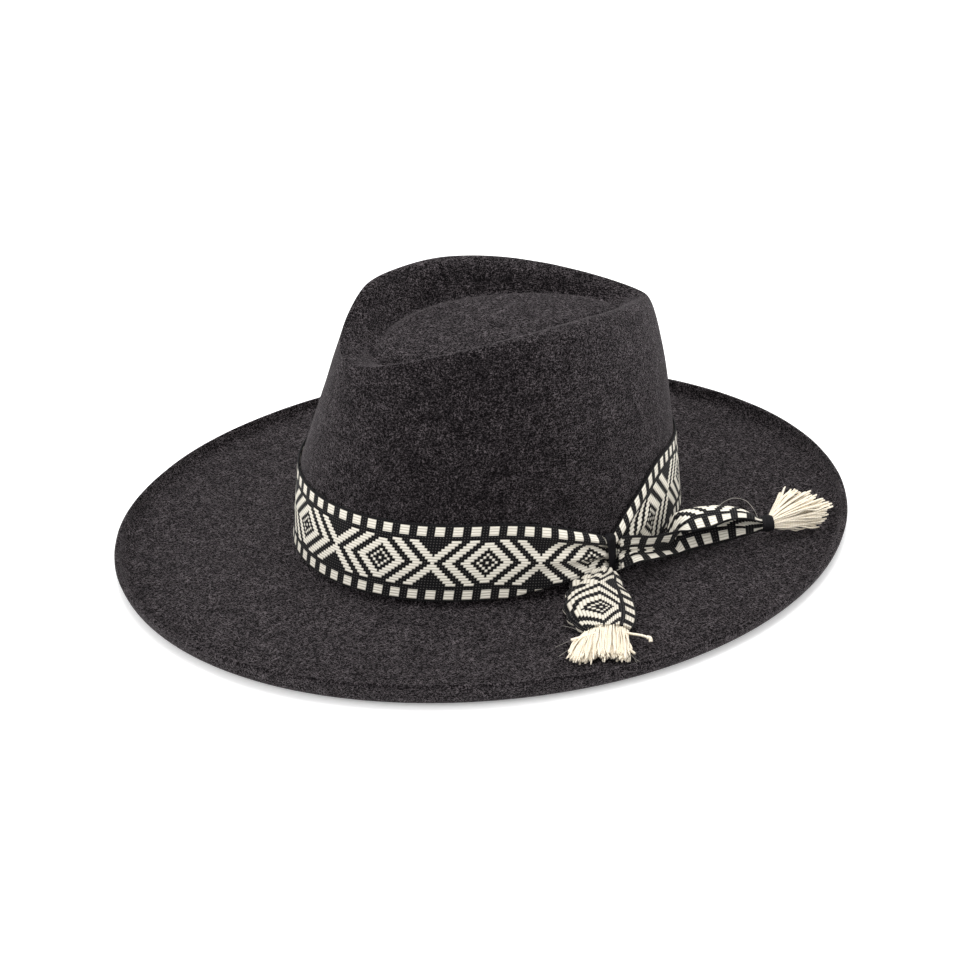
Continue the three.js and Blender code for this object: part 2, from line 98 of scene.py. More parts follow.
# order, side, along, height
CREST = [(0, 0, 8.4, 119.3), (1, 50.0, 85.2, -2.4), (2, -2.1, 4.0, -9.3), (3, -3.6, 0, 0)]
PINCH, PINCH_ANGLE, PINCH_SPREAD = 2.8, 241.0, 13.0
PINCH_OUT = 0.2
DENT_SLOPE_WIDTH = 19.0
DENT_FAR_WIDTH = 14.5
DENT_TURN = 9.0
DENT_STEEPNESS = 1.7
DENT_STEPS_END = 28.0
DENT_GROOVE = 2.2
DENT_GROOVE_WIDTH = 4.5
DENT_GROOVE_PLACE = 1.0
DENT_CENTRE = 6.0
DENT_FLOOR = 115.2
DENT_FALL = 10.5
DENT_REACH = 80.0
DENT_SIDE_FALL = 0.8
AROUND = 256


def column(rows, at):
    """A smooth curve through the (position, value) rows, with level-to-neighbour slopes."""
    x = np.array([r[0] for r in rows], float)
    y = np.array([r[1] for r in rows], float)
    at = np.asarray(at, float)
    last = len(x) - 1
    i = np.clip(np.searchsorted(x, at, side="right") - 1, 0, last - 1)
    before, after = np.clip(np.arange(last + 1) - 1, 0, last), np.clip(np.arange(last + 1) + 1, 0, last)
    slope = (y[after] - y[before]) / (x[after] - x[before])
    span = x[i + 1] - x[i]
    t = (at - x[i]) / span
    start = (1 + 2 * t) * (1 - t) ** 2 * y[i] + t * (1 - t) ** 2 * span * slope[i]
    end = t * t * (3 - 2 * t) * y[i + 1] + t * t * (t - 1) * span * slope[i + 1]
    return start + end


def unit(v):
    return v / np.maximum(np.linalg.norm(v, axis=-1, keepdims=True), 1e-12)


def level(x, y, z):
    x, y, z = np.broadcast_arrays(x, y, z)
    return np.stack([x, y, z], -1).astype(float)


def crest(deg):
    """The rim of the crown's dent."""
    turn = np.radians(deg)
    out = [0.0, 0.0, 0.0]
    for order, side, along, height in CREST:
        out[0] = out[0] + side * np.sin(order * turn)
        out[1] = out[1] + along * np.cos(order * turn)
        out[2] = out[2] + height * np.cos(order * turn)
    # one corner of the crest, on the wearer's right, is pinched up a little
    pinch = np.exp(-(((np.asarray(deg) - PINCH_ANGLE) / PINCH_SPREAD) ** 2))
    out[0] = out[0] + PINCH_OUT * PINCH * pinch * np.sin(turn)
    out[1] = out[1] + PINCH_OUT * PINCH * pinch * np.cos(turn)
    out[2] = out[2] + PINCH * pinch
    return level(*out)


def foot(deg):
    """Where the crown meets the brim's fillet."""
    turn = np.radians(deg)
    return level(FOOT[0] * np.sin(turn), FOOT[1] * np.cos(turn) + CROWN_SHIFT, FELT + FILLET + BRIM_FALL)


def waist(deg):
    """The crown's narrowest level, just above the band."""
    turn = np.radians(deg)
    return level(WAIST[0] * np.sin(turn), WAIST[1] * np.cos(turn) + CROWN_SHIFT + WAIST_SHIFT, WAIST_HEIGHT)


def outward(deg):
    """Level directions away from the crown."""
    turn = np.radians(deg)
    return unit(level(np.sin(turn) / FOOT[0], np.cos(turn) / FOOT[1], 0.0))


def wall(deg, height):
    """The crown's straight lower part, which the band lies on."""
    low, high = foot(deg), waist(deg)
    t = ((height - low[..., 2]) / (high[..., 2] - low[..., 2]))[..., None]
    return low + (high - low) * t


def dent(deg, inward):
    """The dent in the crown, inward millimetres in from its crest."""
    rim = crest(deg)
    middle = level(0.0, DENT_CENTRE, rim[..., 2])
    length = np.linalg.norm(rim - middle, axis=-1)
    point = rim + (middle - rim) * (inward / length)[..., None]
    reach = np.hypot(point[..., 0] * DENT_SIDE_FALL, point[..., 1] - DENT_CENTRE) / DENT_REACH
    floor = DENT_FLOOR - DENT_FALL * reach**2
    # rounded at the crest, then steep, with a quick turn into the floor
    far = np.clip(0.5 - 0.9 * np.sin(np.radians(deg)), 0, 1)
    width = DENT_SLOPE_WIDTH + (DENT_FAR_WIDTH - DENT_SLOPE_WIDTH) * far
    share = np.logaddexp(0, DENT_TURN * (1 - np.clip(inward / width, 0, 3) ** DENT_STEEPNESS)) / DENT_TURN
    # the floor swells up out of a shallow groove that runs along the slope's foot
    groove = DENT_GROOVE * np.exp(-(((inward - width - DENT_GROOVE_PLACE) / DENT_GROOVE_WIDTH) ** 2))
    point[..., 2] = floor + (rim[..., 2] - floor) * share - groove
    return point


def shoulder(deg, t):
    """The crown between its crest and its waist."""
    rim, low = crest(deg), waist(deg)
    turn = (1 - t) * math.pi / 2
    rise = math.sin(turn) ** (2 / SHOULDER_POWER)
    bow = 1 - max(math.cos(turn), 0.0) ** (2 / SHOULDER_POWER)
    taper = column(TAPER, 180 - np.abs(180 - deg))
    inward = (taper * rise + (1 - taper) * bow)[..., None]
    point = low + (rim - low) * inward
    point[..., 2] = low[..., 2] + (rim[..., 2] - low[..., 2]) * rise
    return point


def brim(deg, zone, t):
    """The brim: its fillet at the crown, its level part, its bend and its lip."""
    base, out = foot(deg), outward(deg)
    inner = base + out * FILLET
    lip = column(LIP, deg)
    inset = (LIP_BEND_RADIUS + FELT) * math.sin(LIP_BEND) + lip * math.cos(LIP_BEND)
    turn = np.radians(deg)
    outer = level((BRIM_HALF_WIDTH - inset) * np.sin(turn), (BRIM_HALF_LENGTH - inset) * np.cos(turn), FELT)
    rim = unit((outer - inner) * (1, 1, 0))
    if zone == "fillet":
        point = base + out * FILLET * (1 - math.cos(t * math.pi / 2))
        point[..., 2] = FELT + BRIM_FALL + FILLET * (1 - math.sin(t * math.pi / 2))
        return point
    if zone == "brim":
        point = inner + (outer - inner) * t
        point[..., 2] = FELT + BRIM_FALL * (1 + math.cos(math.pi * min(t / BRIM_FALL_REACH, 1))) / 2
        return point
    bend = LIP_BEND * t if zone == "bend" else LIP_BEND
    straight = lip * t if zone == "lip" else lip * 0
    reach = LIP_BEND_RADIUS * math.sin(bend) + straight * math.cos(bend)
    point = outer + rim * reach[..., None]
    point[..., 2] = FELT + LIP_BEND_RADIUS * (1 - math.cos(bend)) + straight * math.sin(bend)
    return point


# zone, rows in it; the last row of one zone is the first of the next
ZONES = [("floor", 10), ("slope", 24), ("shoulder", 26), ("wall", 8), ("fillet", 5), ("brim", 20),
         ("bend", 7), ("lip", 4)]


def felt_rows():
    deg = np.arange(AROUND) * 360 / AROUND
    rows = []
    for zone, count in ZONES:
        for k in range(count):
            t = (k + 1) / count
            if zone == "floor":
                rim = crest(deg)
                length = np.linalg.norm(rim - level(0.0, DENT_CENTRE, rim[..., 2]), axis=-1)
                rows.append(dent(deg, length + (DENT_STEPS_END - length) * max(t, 0.02)))
            elif zone == "slope":
                rows.append(dent(deg, DENT_STEPS_END * (1 - t) + 0 * deg))
            elif zone == "shoulder":
                rows.append(shoulder(deg, t))
            elif zone == "wall":
                rows.append(wall(deg, WAIST_HEIGHT + (foot(deg)[..., 2] - WAIST_HEIGHT) * t))
            else:
                rows.append(brim(deg, zone, t))
    return np.array(rows)


def grid_normals(rows, closed):
    """Unit normals of a grid of points, rows by columns."""
    around = np.roll(rows, -1, 1) - np.roll(rows, 1, 1) if closed else np.gradient(rows, axis=1)
    return unit(np.cross(around, np.gradient(rows, axis=0)))


def hat_piece(name, points, faces, uvs=None):
    """A smooth mesh in the scene, from points in millimetres."""
    mesh = bpy.data.meshes.new(name)
    mesh.from_pydata((np.asarray(points) * MM).tolist(), [], faces)
    if uvs is not None:
        layer = mesh.uv_layers.new(name="uv")
        corner = np.empty(len(mesh.loops), dtype=np.int32)
        mesh.loops.foreach_get("vertex_index", corner)
        layer.data.foreach_set("uv", np.asarray(uvs, dtype=np.float32)[corner].ravel())
    mesh.polygons.foreach_set("use_smooth", [True] * len(mesh.polygons))
    mesh.validate()
    mesh.update()
    obj = bpy.data.objects.new(name, mesh)
    bpy.context.collection.objects.link(obj)
    return obj


def grid_faces(rows, cols):
    """Quads of a grid of points whose columns close round."""
    faces = []
    for i in range(rows - 1):
        for k in range(cols):
            beside = (k + 1) % cols
            faces.append((i * cols + k, i * cols + beside, (i + 1) * cols + beside, (i + 1) * cols + k))
    return faces


def outward_faces(points, faces):
    """The same faces, turned out if the closed body they make is inside out."""
    p = np.asarray(points)
    volume = 0.0
    for face in faces:
        a = p[face[0]]
        for j in range(1, len(face) - 1):
            volume += np.dot(a, np.cross(p[face[j]], p[face[j + 1]]))
    return faces if volume > 0 else [tuple(reversed(f)) for f in faces]


# swells of the felt: waves per mm, height in mm
UNEVEN = [(0.022, 0.55), (0.06, 0.22)]
UNEVEN_PLACE = Vector((7.3, 1.1, 4.2))
UNEVEN_ON_BRIM = 0.2
# the edge of the lip is rounded over in these steps, in degrees
EDGE_TURNS = (35, 70, 110, 145)


def unevenness(points):
    """Small swells of a hand blocked felt, the same wherever the surface is read."""
    flat = points.reshape(-1, 3)
    total = np.zeros(len(flat))
    for rate, high in UNEVEN:
        total += [high * noise.noise(Vector(p) * rate + UNEVEN_PLACE) for p in flat]
    return total.reshape(points.shape[:-1])


def make_felt():
    """Crown and brim as one shell: the upper face, the rounded edge and the under face."""
    upper = felt_rows()
    normals = grid_normals(upper, True)
    swell = unevenness(upper)
    # the swells are slight on the brim, where they don't lift it off the floor
    fade = np.clip((upper[..., 2] - 4) / 6, 0, 1) * (1 - UNEVEN_ON_BRIM) + UNEVEN_ON_BRIM
    shift = normals * (swell * fade)[..., None]
    shift[..., 2] *= upper[..., 2] > 10
    upper = upper + shift
    last = upper[-1]
    beyond = unit(last - upper[-2])
    edge = []
    for turn in EDGE_TURNS:
        a = math.radians(turn)
        centre = last - normals[-1] * FELT / 2
        edge.append(centre + (normals[-1] * math.cos(a) + beyond * math.sin(a)) * FELT / 2)
    under = (upper - normals * FELT)[::-1]
    rows = np.concatenate([upper, np.array(edge), under])
    count = len(rows)
    points = rows.reshape(-1, 3).tolist()
    faces = grid_faces(count, AROUND)
    points.append(rows[0].mean(0).tolist())
    points.append(rows[-1].mean(0).tolist())
    top, low = len(points) - 2, len(points) - 1
    for k in range(AROUND):
        faces.append((top, (k + 1) % AROUND, k))
        base = (count - 1) * AROUND
        faces.append((low, base + k, base + (k + 1) % AROUND))
    return hat_piece("felt_soft", points, outward_faces(points, faces))


# The ribbon, and the chart that it is woven to: one cell is one step of the pattern along the
# ribbon, and the pattern repeats every 36 cells
RIBBON = 1.0
CELL = 1.468
REPEAT = 36
WIDTH_ROWS = 28.1
RIBBON_WIDTH = 41.0
# UVs hold millimetres at this scale
UV_SCALE = 0.01


def ribbon(name, middle, along, across):
    """A ribbon from its middle surface, a grid of points: rows run along it and columns across.
    along and across are the distances, in mm, that the pattern is read at."""
    rows, cols = middle.shape[:2]
    normals = grid_normals(middle, False)
    bulge = unit(np.gradient(middle, axis=1))
    # round the ribbon: its face, one border, its back and the other border
    sides = [(k, normals[:, k]) for k in range(cols)] + [(cols - 1, bulge[:, -1])]
    sides += [(k, -normals[:, k]) for k in reversed(range(cols))] + [(0, -bulge[:, 0])]
    ring = np.stack([middle[:, k] + way * RIBBON / 2 for k, way in sides], 1)
    uv = np.stack([np.stack([along[:, k], across[:, k]], -1) for k, _ in sides], 1)
    wide = ring.shape[1]
    points = ring.reshape(-1, 3)
    faces = grid_faces(rows, wide)
    faces.append(tuple(range(wide)))
    faces.append(tuple(reversed(range((rows - 1) * wide, rows * wide))))
    return hat_piece(name, points, outward_faces(points, faces), uv.reshape(-1, 2) * UV_SCALE)


# The band round the crown: angle, heights of its lower and upper border, distance off the felt,
# depth of its pleats
BAND = [
    (0, 8.1, 48.2, 0.4, 0.0), (30, 8.3, 49.2, 0.4, 0.0), (50, 11.2, 52.2, 0.4, 0.0),
    (58, 11.7, 50.7, 0.6, 0.1), (66, 10.7, 44.2, 1.2, 0.5), (74, 9.5, 35.2, 2.0, 1.3),
    (79, 9.3, 28.1, 3.0, 1.7), (81, 11.0, 28.2, 3.0, 1.7), (83, 12.6, 29.2, 3.0, 1.6),
    (85, 12.6, 31.0, 2.8, 1.5), (88, 11.8, 33.6, 2.4, 1.3), (92, 11.2, 36.7, 2.0, 1.1),
    (101, 10.3, 42.7, 1.2, 0.5), (112, 8.1, 46.7, 0.5, 0.0), (126, 8.1, 47.7, 0.4, 0.0),
    (250, 8.1, 47.2, 0.4, 0.0), (330, 8.1, 47.9, 0.4, 0.0), (360, 8.1, 48.2, 0.4, 0.0),
]
PLEATS = 2.5
PLEAT_PHASE = 0.9
BAND_ROWS, BAND_COLS = 420, 60
BAND_CROWDING = 0.75
# where the pattern starts in front, how far it leans, and how both change behind the hat
SKEW = 0.105
FRONT_PHASE = -61.97
REAR_PHASE = 28.0
REAR_SKEW = -5.0
REAR_FROM, REAR_OVER = 200, 200
# the lower border is folded under beside the knot: angle, width that is out of sight
TUCK = [(82, 8.0), (90, 7.6), (100, 6.4), (106, 4.0), (112, 1.0), (118, 0.0), (402, 0.0),
        (409.5, 3.0), (422, 9.5), (430, 10.0), (442, 10.0)]
# the ribbon is gathered on its way to the knot from behind: share, and where that starts
GATHER = 0.24
GATHER_START = 515.0
GATHER_EASE = 4
BAND_START = 82.0


def band_middle(deg, share):
    """The middle surface of the band, with soft pleats toward the knot."""
    low, high, off, pleat = (column([(r[0], r[j]) for r in BAND], deg % 360) for j in (1, 2, 3, 4))
    point = wall(deg, low + (high - low) * share)
    fold = pleat * np.sin(2 * math.pi * PLEATS * share + PLEAT_PHASE)
    return point + outward(deg) * (off + RIBBON / 2 + fold)[..., None]


def make_band():
    """The band, once round the crown from the knot to the knot, in finer steps near it."""
    t = np.linspace(0, 1, BAND_ROWS)
    deg = BAND_START + 360 * (t - BAND_CROWDING * np.sin(2 * math.pi * t) / (2 * math.pi))
    share = np.linspace(0, 1, BAND_COLS + 1)
    grid_deg, grid_share = np.meshgrid(deg, share, indexing="ij")
    middle = band_middle(grid_deg, grid_share)
    plain = wall(deg, deg * 0 + 28.0) + outward(deg) * 1.0
    run = np.concatenate([[0], np.cumsum(np.linalg.norm(np.diff(plain, axis=0), axis=1))])
    # where a border climbs toward the knot, more of the ribbon lies along it
    low, high = (column([(r[0], r[j]) for r in BAND], grid_deg % 360) for j in (1, 2))
    climb = np.gradient(low + (high - low) * grid_share, axis=0) / np.gradient(run)[:, None]
    extra = np.cumsum((np.sqrt(1 + climb**2) - 1) * np.gradient(run)[:, None], axis=0)
    extra -= extra[len(deg) // 2]
    along = run[:, None] + extra + FRONT_PHASE + SKEW * (grid_share - 0.5) * RIBBON_WIDTH
    # behind the hat the pattern is eased, so that it meets the knot's other side as it should
    ease = np.clip((deg - REAR_FROM) / REAR_OVER, 0, 1)
    ease = (ease * ease * (3 - 2 * ease))[:, None]
    along = along + ease * (REAR_PHASE + REAR_SKEW * (grid_share - 0.4))
    gathered = GATHER * np.logaddexp(0, (run - GATHER_START) / GATHER_EASE) * GATHER_EASE
    along = along + gathered[:, None]
    tucked = np.clip(column(TUCK, grid_deg), 0, None)
    return ribbon("band_ribbon", middle, along, tucked + grid_share * (RIBBON_WIDTH - tucked))


# The long tail, folded along its length. Each row is one cut: its place, and the ribbon's course
# through it from the lower border to the upper one, as (toward the viewer, height, distance across
# the ribbon). Near the knot the upper border stands up behind the lower one, with pleats between
# them; from the fourth row on it turns over and hangs down in front.
LONG_TAIL = [
    ((95.0, 21.6), (1.6, 13.4, 0), (0.4, 14.8, 4), (-0.6, 17.4, 9), (-3.4, 20.6, 18),
     (-1.6, 22.0, 30), (0.2, 26.0, 36), (1.2, 30.6, 41)),
    ((94.6, 30.0), (3.4, 15.0, 0), (1.0, 16.6, 4), (-1.8, 18.4, 9), (-5.0, 20.8, 18),
     (-2.2, 20.4, 30), (-0.8, 24.4, 36), (1.0, 28.7, 41)),
    ((92.8, 40.0), (3.8, 12.9, 0), (1.4, 13.8, 4), (-1.6, 15.0, 9), (-5.6, 18.0, 19),
     (-2.4, 16.8, 30), (-0.6, 20.6, 36), (1.5, 24.8, 41)),
    ((90.8, 49.0), (3.4, 10.9, 0), (1.2, 11.8, 4), (-1.6, 12.8, 9), (-6.0, 17.5, 20),
     (-2.8, 14.6, 30), (-0.4, 18.4, 36), (2.0, 22.6, 41)),
    ((89.4, 56.0), (3.0, 9.2, 0), (0.8, 10.2, 5), (-2.2, 11.8, 10), (-6.4, 17.2, 21),
     (-3.0, 14.0, 30), (0.6, 17.2, 36), (3.4, 22.0, 41)),
    ((88.6, 61.2), (2.7, 8.4, 0), (-0.8, 11.8, 5), (-5.8, 16.2, 11), (-8.0, 20.6, 17),
     (-4.2, 25.6, 25), (2.2, 25.6, 32), (6.6, 21.6, 41)),
    ((88.2, 64.2), (2.6, 8.0, 0), (-1.2, 11.6, 5), (-6.2, 16.4, 12), (-8.2, 21.0, 18),
     (-4.2, 26.8, 25), (2.4, 26.5, 32), (7.6, 21.4, 41)),
    ((88.0, 68.0), (2.4, 7.6, 0), (-1.4, 11.4, 5), (-6.6, 16.4, 12), (-8.4, 21.0, 18),
     (-4.0, 26.6, 26), (2.8, 26.2, 33), (8.5, 21.4, 41)),
    ((88.2, 74.0), (2.4, 7.4, 0), (-1.4, 11.2, 5), (-6.4, 16.2, 12), (-8.2, 20.8, 18),
     (-4.0, 26.0, 26), (3.0, 25.8, 33), (9.0, 21.2, 41)),
    ((89.4, 81.0), (2.4, 7.6, 0), (-1.2, 11.2, 5), (-6.0, 16.0, 12), (-7.6, 20.4, 18),
     (-3.6, 25.2, 26), (3.0, 25.2, 33), (8.5, 22.0, 41)),
    ((92.0, 88.0), (2.4, 8.8, 0), (-1.0, 12.0, 5), (-4.8, 16.0, 12), (-6.2, 20.0, 18),
     (-3.0, 24.2, 27), (2.6, 24.6, 33), (7.0, 22.6, 41)),
    ((94.8, 93.5), (2.2, 10.4, 0), (-0.6, 12.6, 5), (-3.8, 15.6, 13), (-4.8, 18.6, 20),
     (-2.4, 22.6, 28), (1.6, 23.2, 34), (5.0, 21.6, 41)),
    ((97.2, 97.5), (2.0, 11.6, 0), (-0.2, 12.8, 6), (-2.5, 14.8, 13), (-3.2, 17.0, 20),
     (-1.8, 20.2, 28), (1.2, 21.4, 34), (3.4, 20.2, 41)),
    ((98.6, 100.0), (1.8, 12.5, 0), (0.0, 13.0, 6), (-1.9, 14.2, 13), (-2.4, 16.2, 20),
     (-1.4, 18.6, 28), (0.9, 19.4, 34), (2.4, 18.6, 41)),
    ((99.8, 102.4), (1.6, 13.3, 0), (0.1, 13.2, 6), (-1.6, 14.2, 13), (-2.0, 15.9, 20),
     (-1.2, 17.8, 28), (0.6, 18.3, 34), (1.9, 17.5, 41)),
    ((101.4, 106.6), (1.6, 13.8, 0), (0.1, 13.6, 6), (-1.5, 14.3, 13), (-1.9, 15.8, 20),
     (-1.2, 17.4, 28), (0.5, 17.9, 34), (1.8, 17.2, 41)),
]
# The short tail, an arch over the brim: place, height of its top, reach to the left and right,
# drop of the border that is curled under at the left
SHORT_TAIL = [
    ((95.3, 12.9), 15.5, 4.5, 4.5, 3.5),
    ((98.6, 9.8), 15.0, 11.0, 8.2, 5.6),
    ((104.0, 4.4), 15.8, 15.8, 11.0, 7.6),
    ((109.0, 1.0), 15.6, 17.0, 13.6, 8.2),
    ((114.0, -1.8), 14.8, 17.8, 15.0, 8.4),
    ((119.0, -4.6), 13.6, 17.6, 15.6, 8.0),
    ((124.0, -7.2), 12.2, 16.4, 15.4, 7.2),
    ((129.0, -9.8), 11.4, 13.5, 14.2, 6.4),
    ((133.5, -12.3), 10.8, 10.0, 12.4, 5.6),
]
# One cut of the short tail, from the border that lies open to the one that is curled under:
# reach to the right, reach to the left, share of the drop, distance across the ribbon
SHORT_CUT = [
    (1.0, 0.0, 0.6, 0), (0.73, 0.0, 0.3, 4.6), (0.47, 0.0, 0.08, 9.2), (0.0, 0.0, 0.0, 19.5),
    (0.0, 0.4, 0.02, 25.0), (0.0, 0.78, 0.22, 31.0), (0.0, 1.0, 0.68, 35.0), (0.0, 0.88, 1.0, 38.0),
    (0.0, 0.7, 0.92, 41.0),
]
# distance along the way, distance along the pattern
LONG_COURSE = [(0, 0), (15, 12.8), (30, 25.5), (60, 55.5), (100, 95.5)]
SHORT_COURSE = [(0, 7.7), (20, 34.7), (40, 61.7), (60, 88.7)]
# how far the pattern lags at the short tail's two borders
SHORT_BOW = (2.0, 7.0)
TAIL_STEPS = 150
TAIL_COLS = 60


def spline(points, count, measured=3):
    """Even steps along a smooth curve through the points, by length in the first few coordinates."""
    p = np.asarray(points, float)
    fine = np.linspace(0, len(p) - 1, 12 * (len(p) - 1) + 1)
    rows = np.stack([column(list(enumerate(p[:, j])), fine) for j in range(p.shape[1])], -1)
    step = np.linalg.norm(np.diff(rows[:, :measured], axis=0), axis=1)
    run = np.concatenate([[0], np.cumsum(step)])
    even = np.linspace(0, run[-1], count)
    return np.stack([np.interp(even, run, rows[:, j]) for j in range(p.shape[1])], -1)


def tail(name, places, cuts, course, ripple, bow=(0.0, 0.0), puckers=None):
    """A ribbon through its cuts, which lie square to the line through their places. course gives
    the ribbon's length on the way, and bow how far the pattern lags at its two borders."""
    places = np.asarray(places, float)
    sections = np.array([spline(cut, TAIL_COLS + 1, 2) for cut in cuts])
    t = np.linspace(0, len(places) - 1, TAIL_STEPS)
    index = list(range(len(places)))
    line = np.stack([column(list(zip(index, places[:, j])), t) for j in (0, 1)], -1)
    ahead = np.gradient(line, axis=0)
    ahead /= np.linalg.norm(ahead, axis=1, keepdims=True)
    cut = np.stack([
        np.stack([column(list(zip(index, sections[:, k, j])), t) for k in range(TAIL_COLS + 1)], -1)
        for j in (0, 1, 2)], -1)
    middle = np.empty((TAIL_STEPS, TAIL_COLS + 1, 3))
    middle[..., 0] = line[:, None, 0] + ahead[:, None, 1] * cut[..., 0]
    middle[..., 1] = line[:, None, 1] - ahead[:, None, 0] * cut[..., 0]
    middle[..., 2] = cut[..., 1]
    way, share = t[:, None] / (len(places) - 1), np.linspace(0, 1, TAIL_COLS + 1)[None, :]
    middle += ripple(way, share, grid_normals(middle, False))
    run = np.concatenate([[0], np.cumsum(np.linalg.norm(np.diff(line, axis=0), axis=1))])
    across = np.clip(cut[..., 2], 0, RIBBON_WIDTH)
    off = across / RIBBON_WIDTH * 2 - 1
    along = column(course, run)[:, None] - np.where(off < 0, bow[0], bow[1]) * off * off
    if puckers is not None:
        along = along + puckers(way, share)
    return ribbon(name, middle, along, across)


def bell(x, middle, width):
    """One at the middle, and falling away on both sides of it."""
    return np.exp(-(((x - middle) / width) ** 2))


def rise(x, start, over):
    """Nothing up to the start, then rising to one over the given distance."""
    return np.clip((x - start) / over, 0, 1)


# how high or deep each kind of fold is, in mm
LONG_FOLD, LONG_SWELL = 0.35, 0.4
SHORT_FOLD, SHORT_RUFFLE, SHORT_CREASE, SHORT_BUNCH, SHORT_DIMPLE, SHORT_SWELL = 0.45, 0.5, -1.9, 0.8, -0.9, 0.7
# how many folds run into the knot or the tie, across the ribbon
LONG_FOLDS, SHORT_FOLDS = 6, 5
# the pattern's pull in the gathered folds, and its waver past them, in mm
SHORT_PULL, SHORT_WAVER = -9.0, 1.6


def long_ripple(t, v, normal):
    """Folds that run into the knot and into the tie. t is the share of the way along the tail and v
    the share of the way across it."""
    grip = bell(t, 0, 0.1) + bell(t, 1, 0.12)
    wave = LONG_FOLD * grip * np.sin(2 * math.pi * LONG_FOLDS * v)
    slow = LONG_SWELL * np.sin(7 * t + 5 * v) * np.sin(math.pi * t) * (1 - v) * v * 4
    return normal * (wave + slow)[..., None]


def short_ripple(t, v, normal):
    """Folds at the knot, one deep crease that sets off the upper lobe, and a ruffled left side."""
    wave = SHORT_FOLD * bell(t, 0, 0.2) * np.sin(2 * math.pi * SHORT_FOLDS * v)
    ruffle = SHORT_RUFFLE * rise(v, 0.5, 0.3) * np.sin(2 * math.pi * (5.5 * t + 1.5 * v))
    crease = SHORT_CREASE * rise(v, 0.4, 0.2) * bell(t, 0.1 + 0.3 * rise(v, 0.45, 0.4), 0.04)
    # three gathered folds lie across the way between the knot and the crease
    bunch = SHORT_BUNCH * rise(v, 0.42, 0.15) * bell(t, 0.17, 0.13)
    folds = bunch * np.sin(2 * math.pi * (t / 0.085 + 0.8 * v))
    dimple = SHORT_DIMPLE * bell(t, 0.62, 0.16) * bell(v, 0.44, 0.12)
    swell = SHORT_SWELL * np.sin(9 * t + 4 * v) * np.sin(math.pi * v)
    return normal * (wave + ruffle + crease + folds + dimple + swell)[..., None]


def short_puckers(t, v):
    """More of the ribbon is taken up in the gathered folds, so the pattern runs faster there."""
    left = rise(v, 0.42, 0.25)
    return SHORT_PULL * left * bell(t, 0, 0.26) + SHORT_WAVER * np.sin(8 * t + 5 * v) * left


def make_long_tail():
    places, cuts = [row[0] for row in LONG_TAIL], [row[1:] for row in LONG_TAIL]
    return tail("long_tail_ribbon", places, cuts, LONG_COURSE, long_ripple)


def make_short_tail():
    cuts = [[(b * left - a * right, top - share * drop, across) for a, b, share, across in SHORT_CUT]
            for _, top, left, right, drop in SHORT_TAIL]
    places = [row[0] for row in SHORT_TAIL]
    return tail("short_tail_ribbon", places, cuts, SHORT_COURSE, short_ripple, SHORT_BOW, short_puckers)


# The black thread at the knot and round the end of the long tail
THREAD = 0.7
THREAD_PRESSED = 0.75
THREAD_HEAP, THREAD_UNEVEN, THREAD_SLANT = 0.35, 0.1, 0.05
KNOT_ANGLE = 81.5
KNOT_LOW, KNOT_HIGH = 7.6, 30.0
KNOT_INNER, KNOT_OUTER = 1.7, 6.7
KNOT_WIDTH = 4.1
KNOT_TURNS = 9
KNOT_CORNERS = 0.55
TIE_PLACE = (100.7, 104.8, 15.7)
TIE_HEADING = math.radians(70.0)
TIE_LENGTH = 5.6
TIE_RADIUS = 3.25
TIE_TURNS = 9


def windings(name, centre, across, axis, width, turns, half, corners=0.0):
    """Turns of thread side by side round a bundle. The first turn is a torus that is pressed to the
    bundle's outline, half[0] by half[1], and the others are copies of it, heaped in the middle."""
    up = Vector((0, 0, 1))
    facing = Matrix((across, up, across.cross(up))).transposed()
    bpy.ops.object.select_all(action="DESELECT")
    bpy.ops.mesh.primitive_torus_add(
        major_radius=1.0, minor_radius=THREAD * THREAD_PRESSED / max(half), major_segments=64,
        minor_segments=8, location=centre * MM, rotation=facing.to_euler())
    first = bpy.context.active_object
    if corners:
        press = first.modifiers.new("press", "CAST")
        press.cast_type, press.factor, press.use_z = "CUBOID", corners, False
        bpy.ops.object.modifier_apply(modifier=press.name)
    for k in range(turns):
        turn = first
        if k:
            turn = first.copy()
            turn.data = first.data.copy()
            bpy.context.collection.objects.link(turn)
        share = (k + 0.5) / turns - 0.5
        heap = THREAD_HEAP * math.cos(math.pi * share) + THREAD_UNEVEN * math.sin(5.3 * k)
        slant = THREAD_SLANT * math.sin(2.1 * k + 0.7)
        turn.location = (centre + axis * share * width) * MM
        turn.rotation_euler = (Matrix.Rotation(slant, 3, across) @ facing).to_euler()
        turn.scale = ((half[0] + heap) * MM, (half[1] + heap) * MM, max(half) * MM)
        turn.select_set(True)
    bpy.context.view_layer.objects.active = first
    bpy.ops.object.join()
    bpy.ops.object.transform_apply(location=True, rotation=True, scale=True)
    bpy.ops.object.shade_smooth()
    first.name = name
    return first


def make_knot():
    middle = wall(np.array([KNOT_ANGLE]), np.array([(KNOT_LOW + KNOT_HIGH) / 2]))[0]
    out = outward(np.array([KNOT_ANGLE]))[0]
    half = ((KNOT_OUTER - KNOT_INNER) / 2, (KNOT_HIGH - KNOT_LOW) / 2 - 0.5)
    centre = Vector(middle + out * (KNOT_INNER + KNOT_OUTER) / 2)
    along = Vector((-out[1], out[0], 0))
    return windings("knot_thread", centre, Vector(out), along, KNOT_WIDTH, KNOT_TURNS, half, KNOT_CORNERS)


def make_tie():
    ahead = Vector((math.cos(TIE_HEADING), math.sin(TIE_HEADING), 0))
    across = Vector((-ahead.y, ahead.x, 0))
    half = (TIE_RADIUS, TIE_RADIUS)
    return windings("tie_thread", Vector(TIE_PLACE), across, ahead, TIE_LENGTH, TIE_TURNS, half)


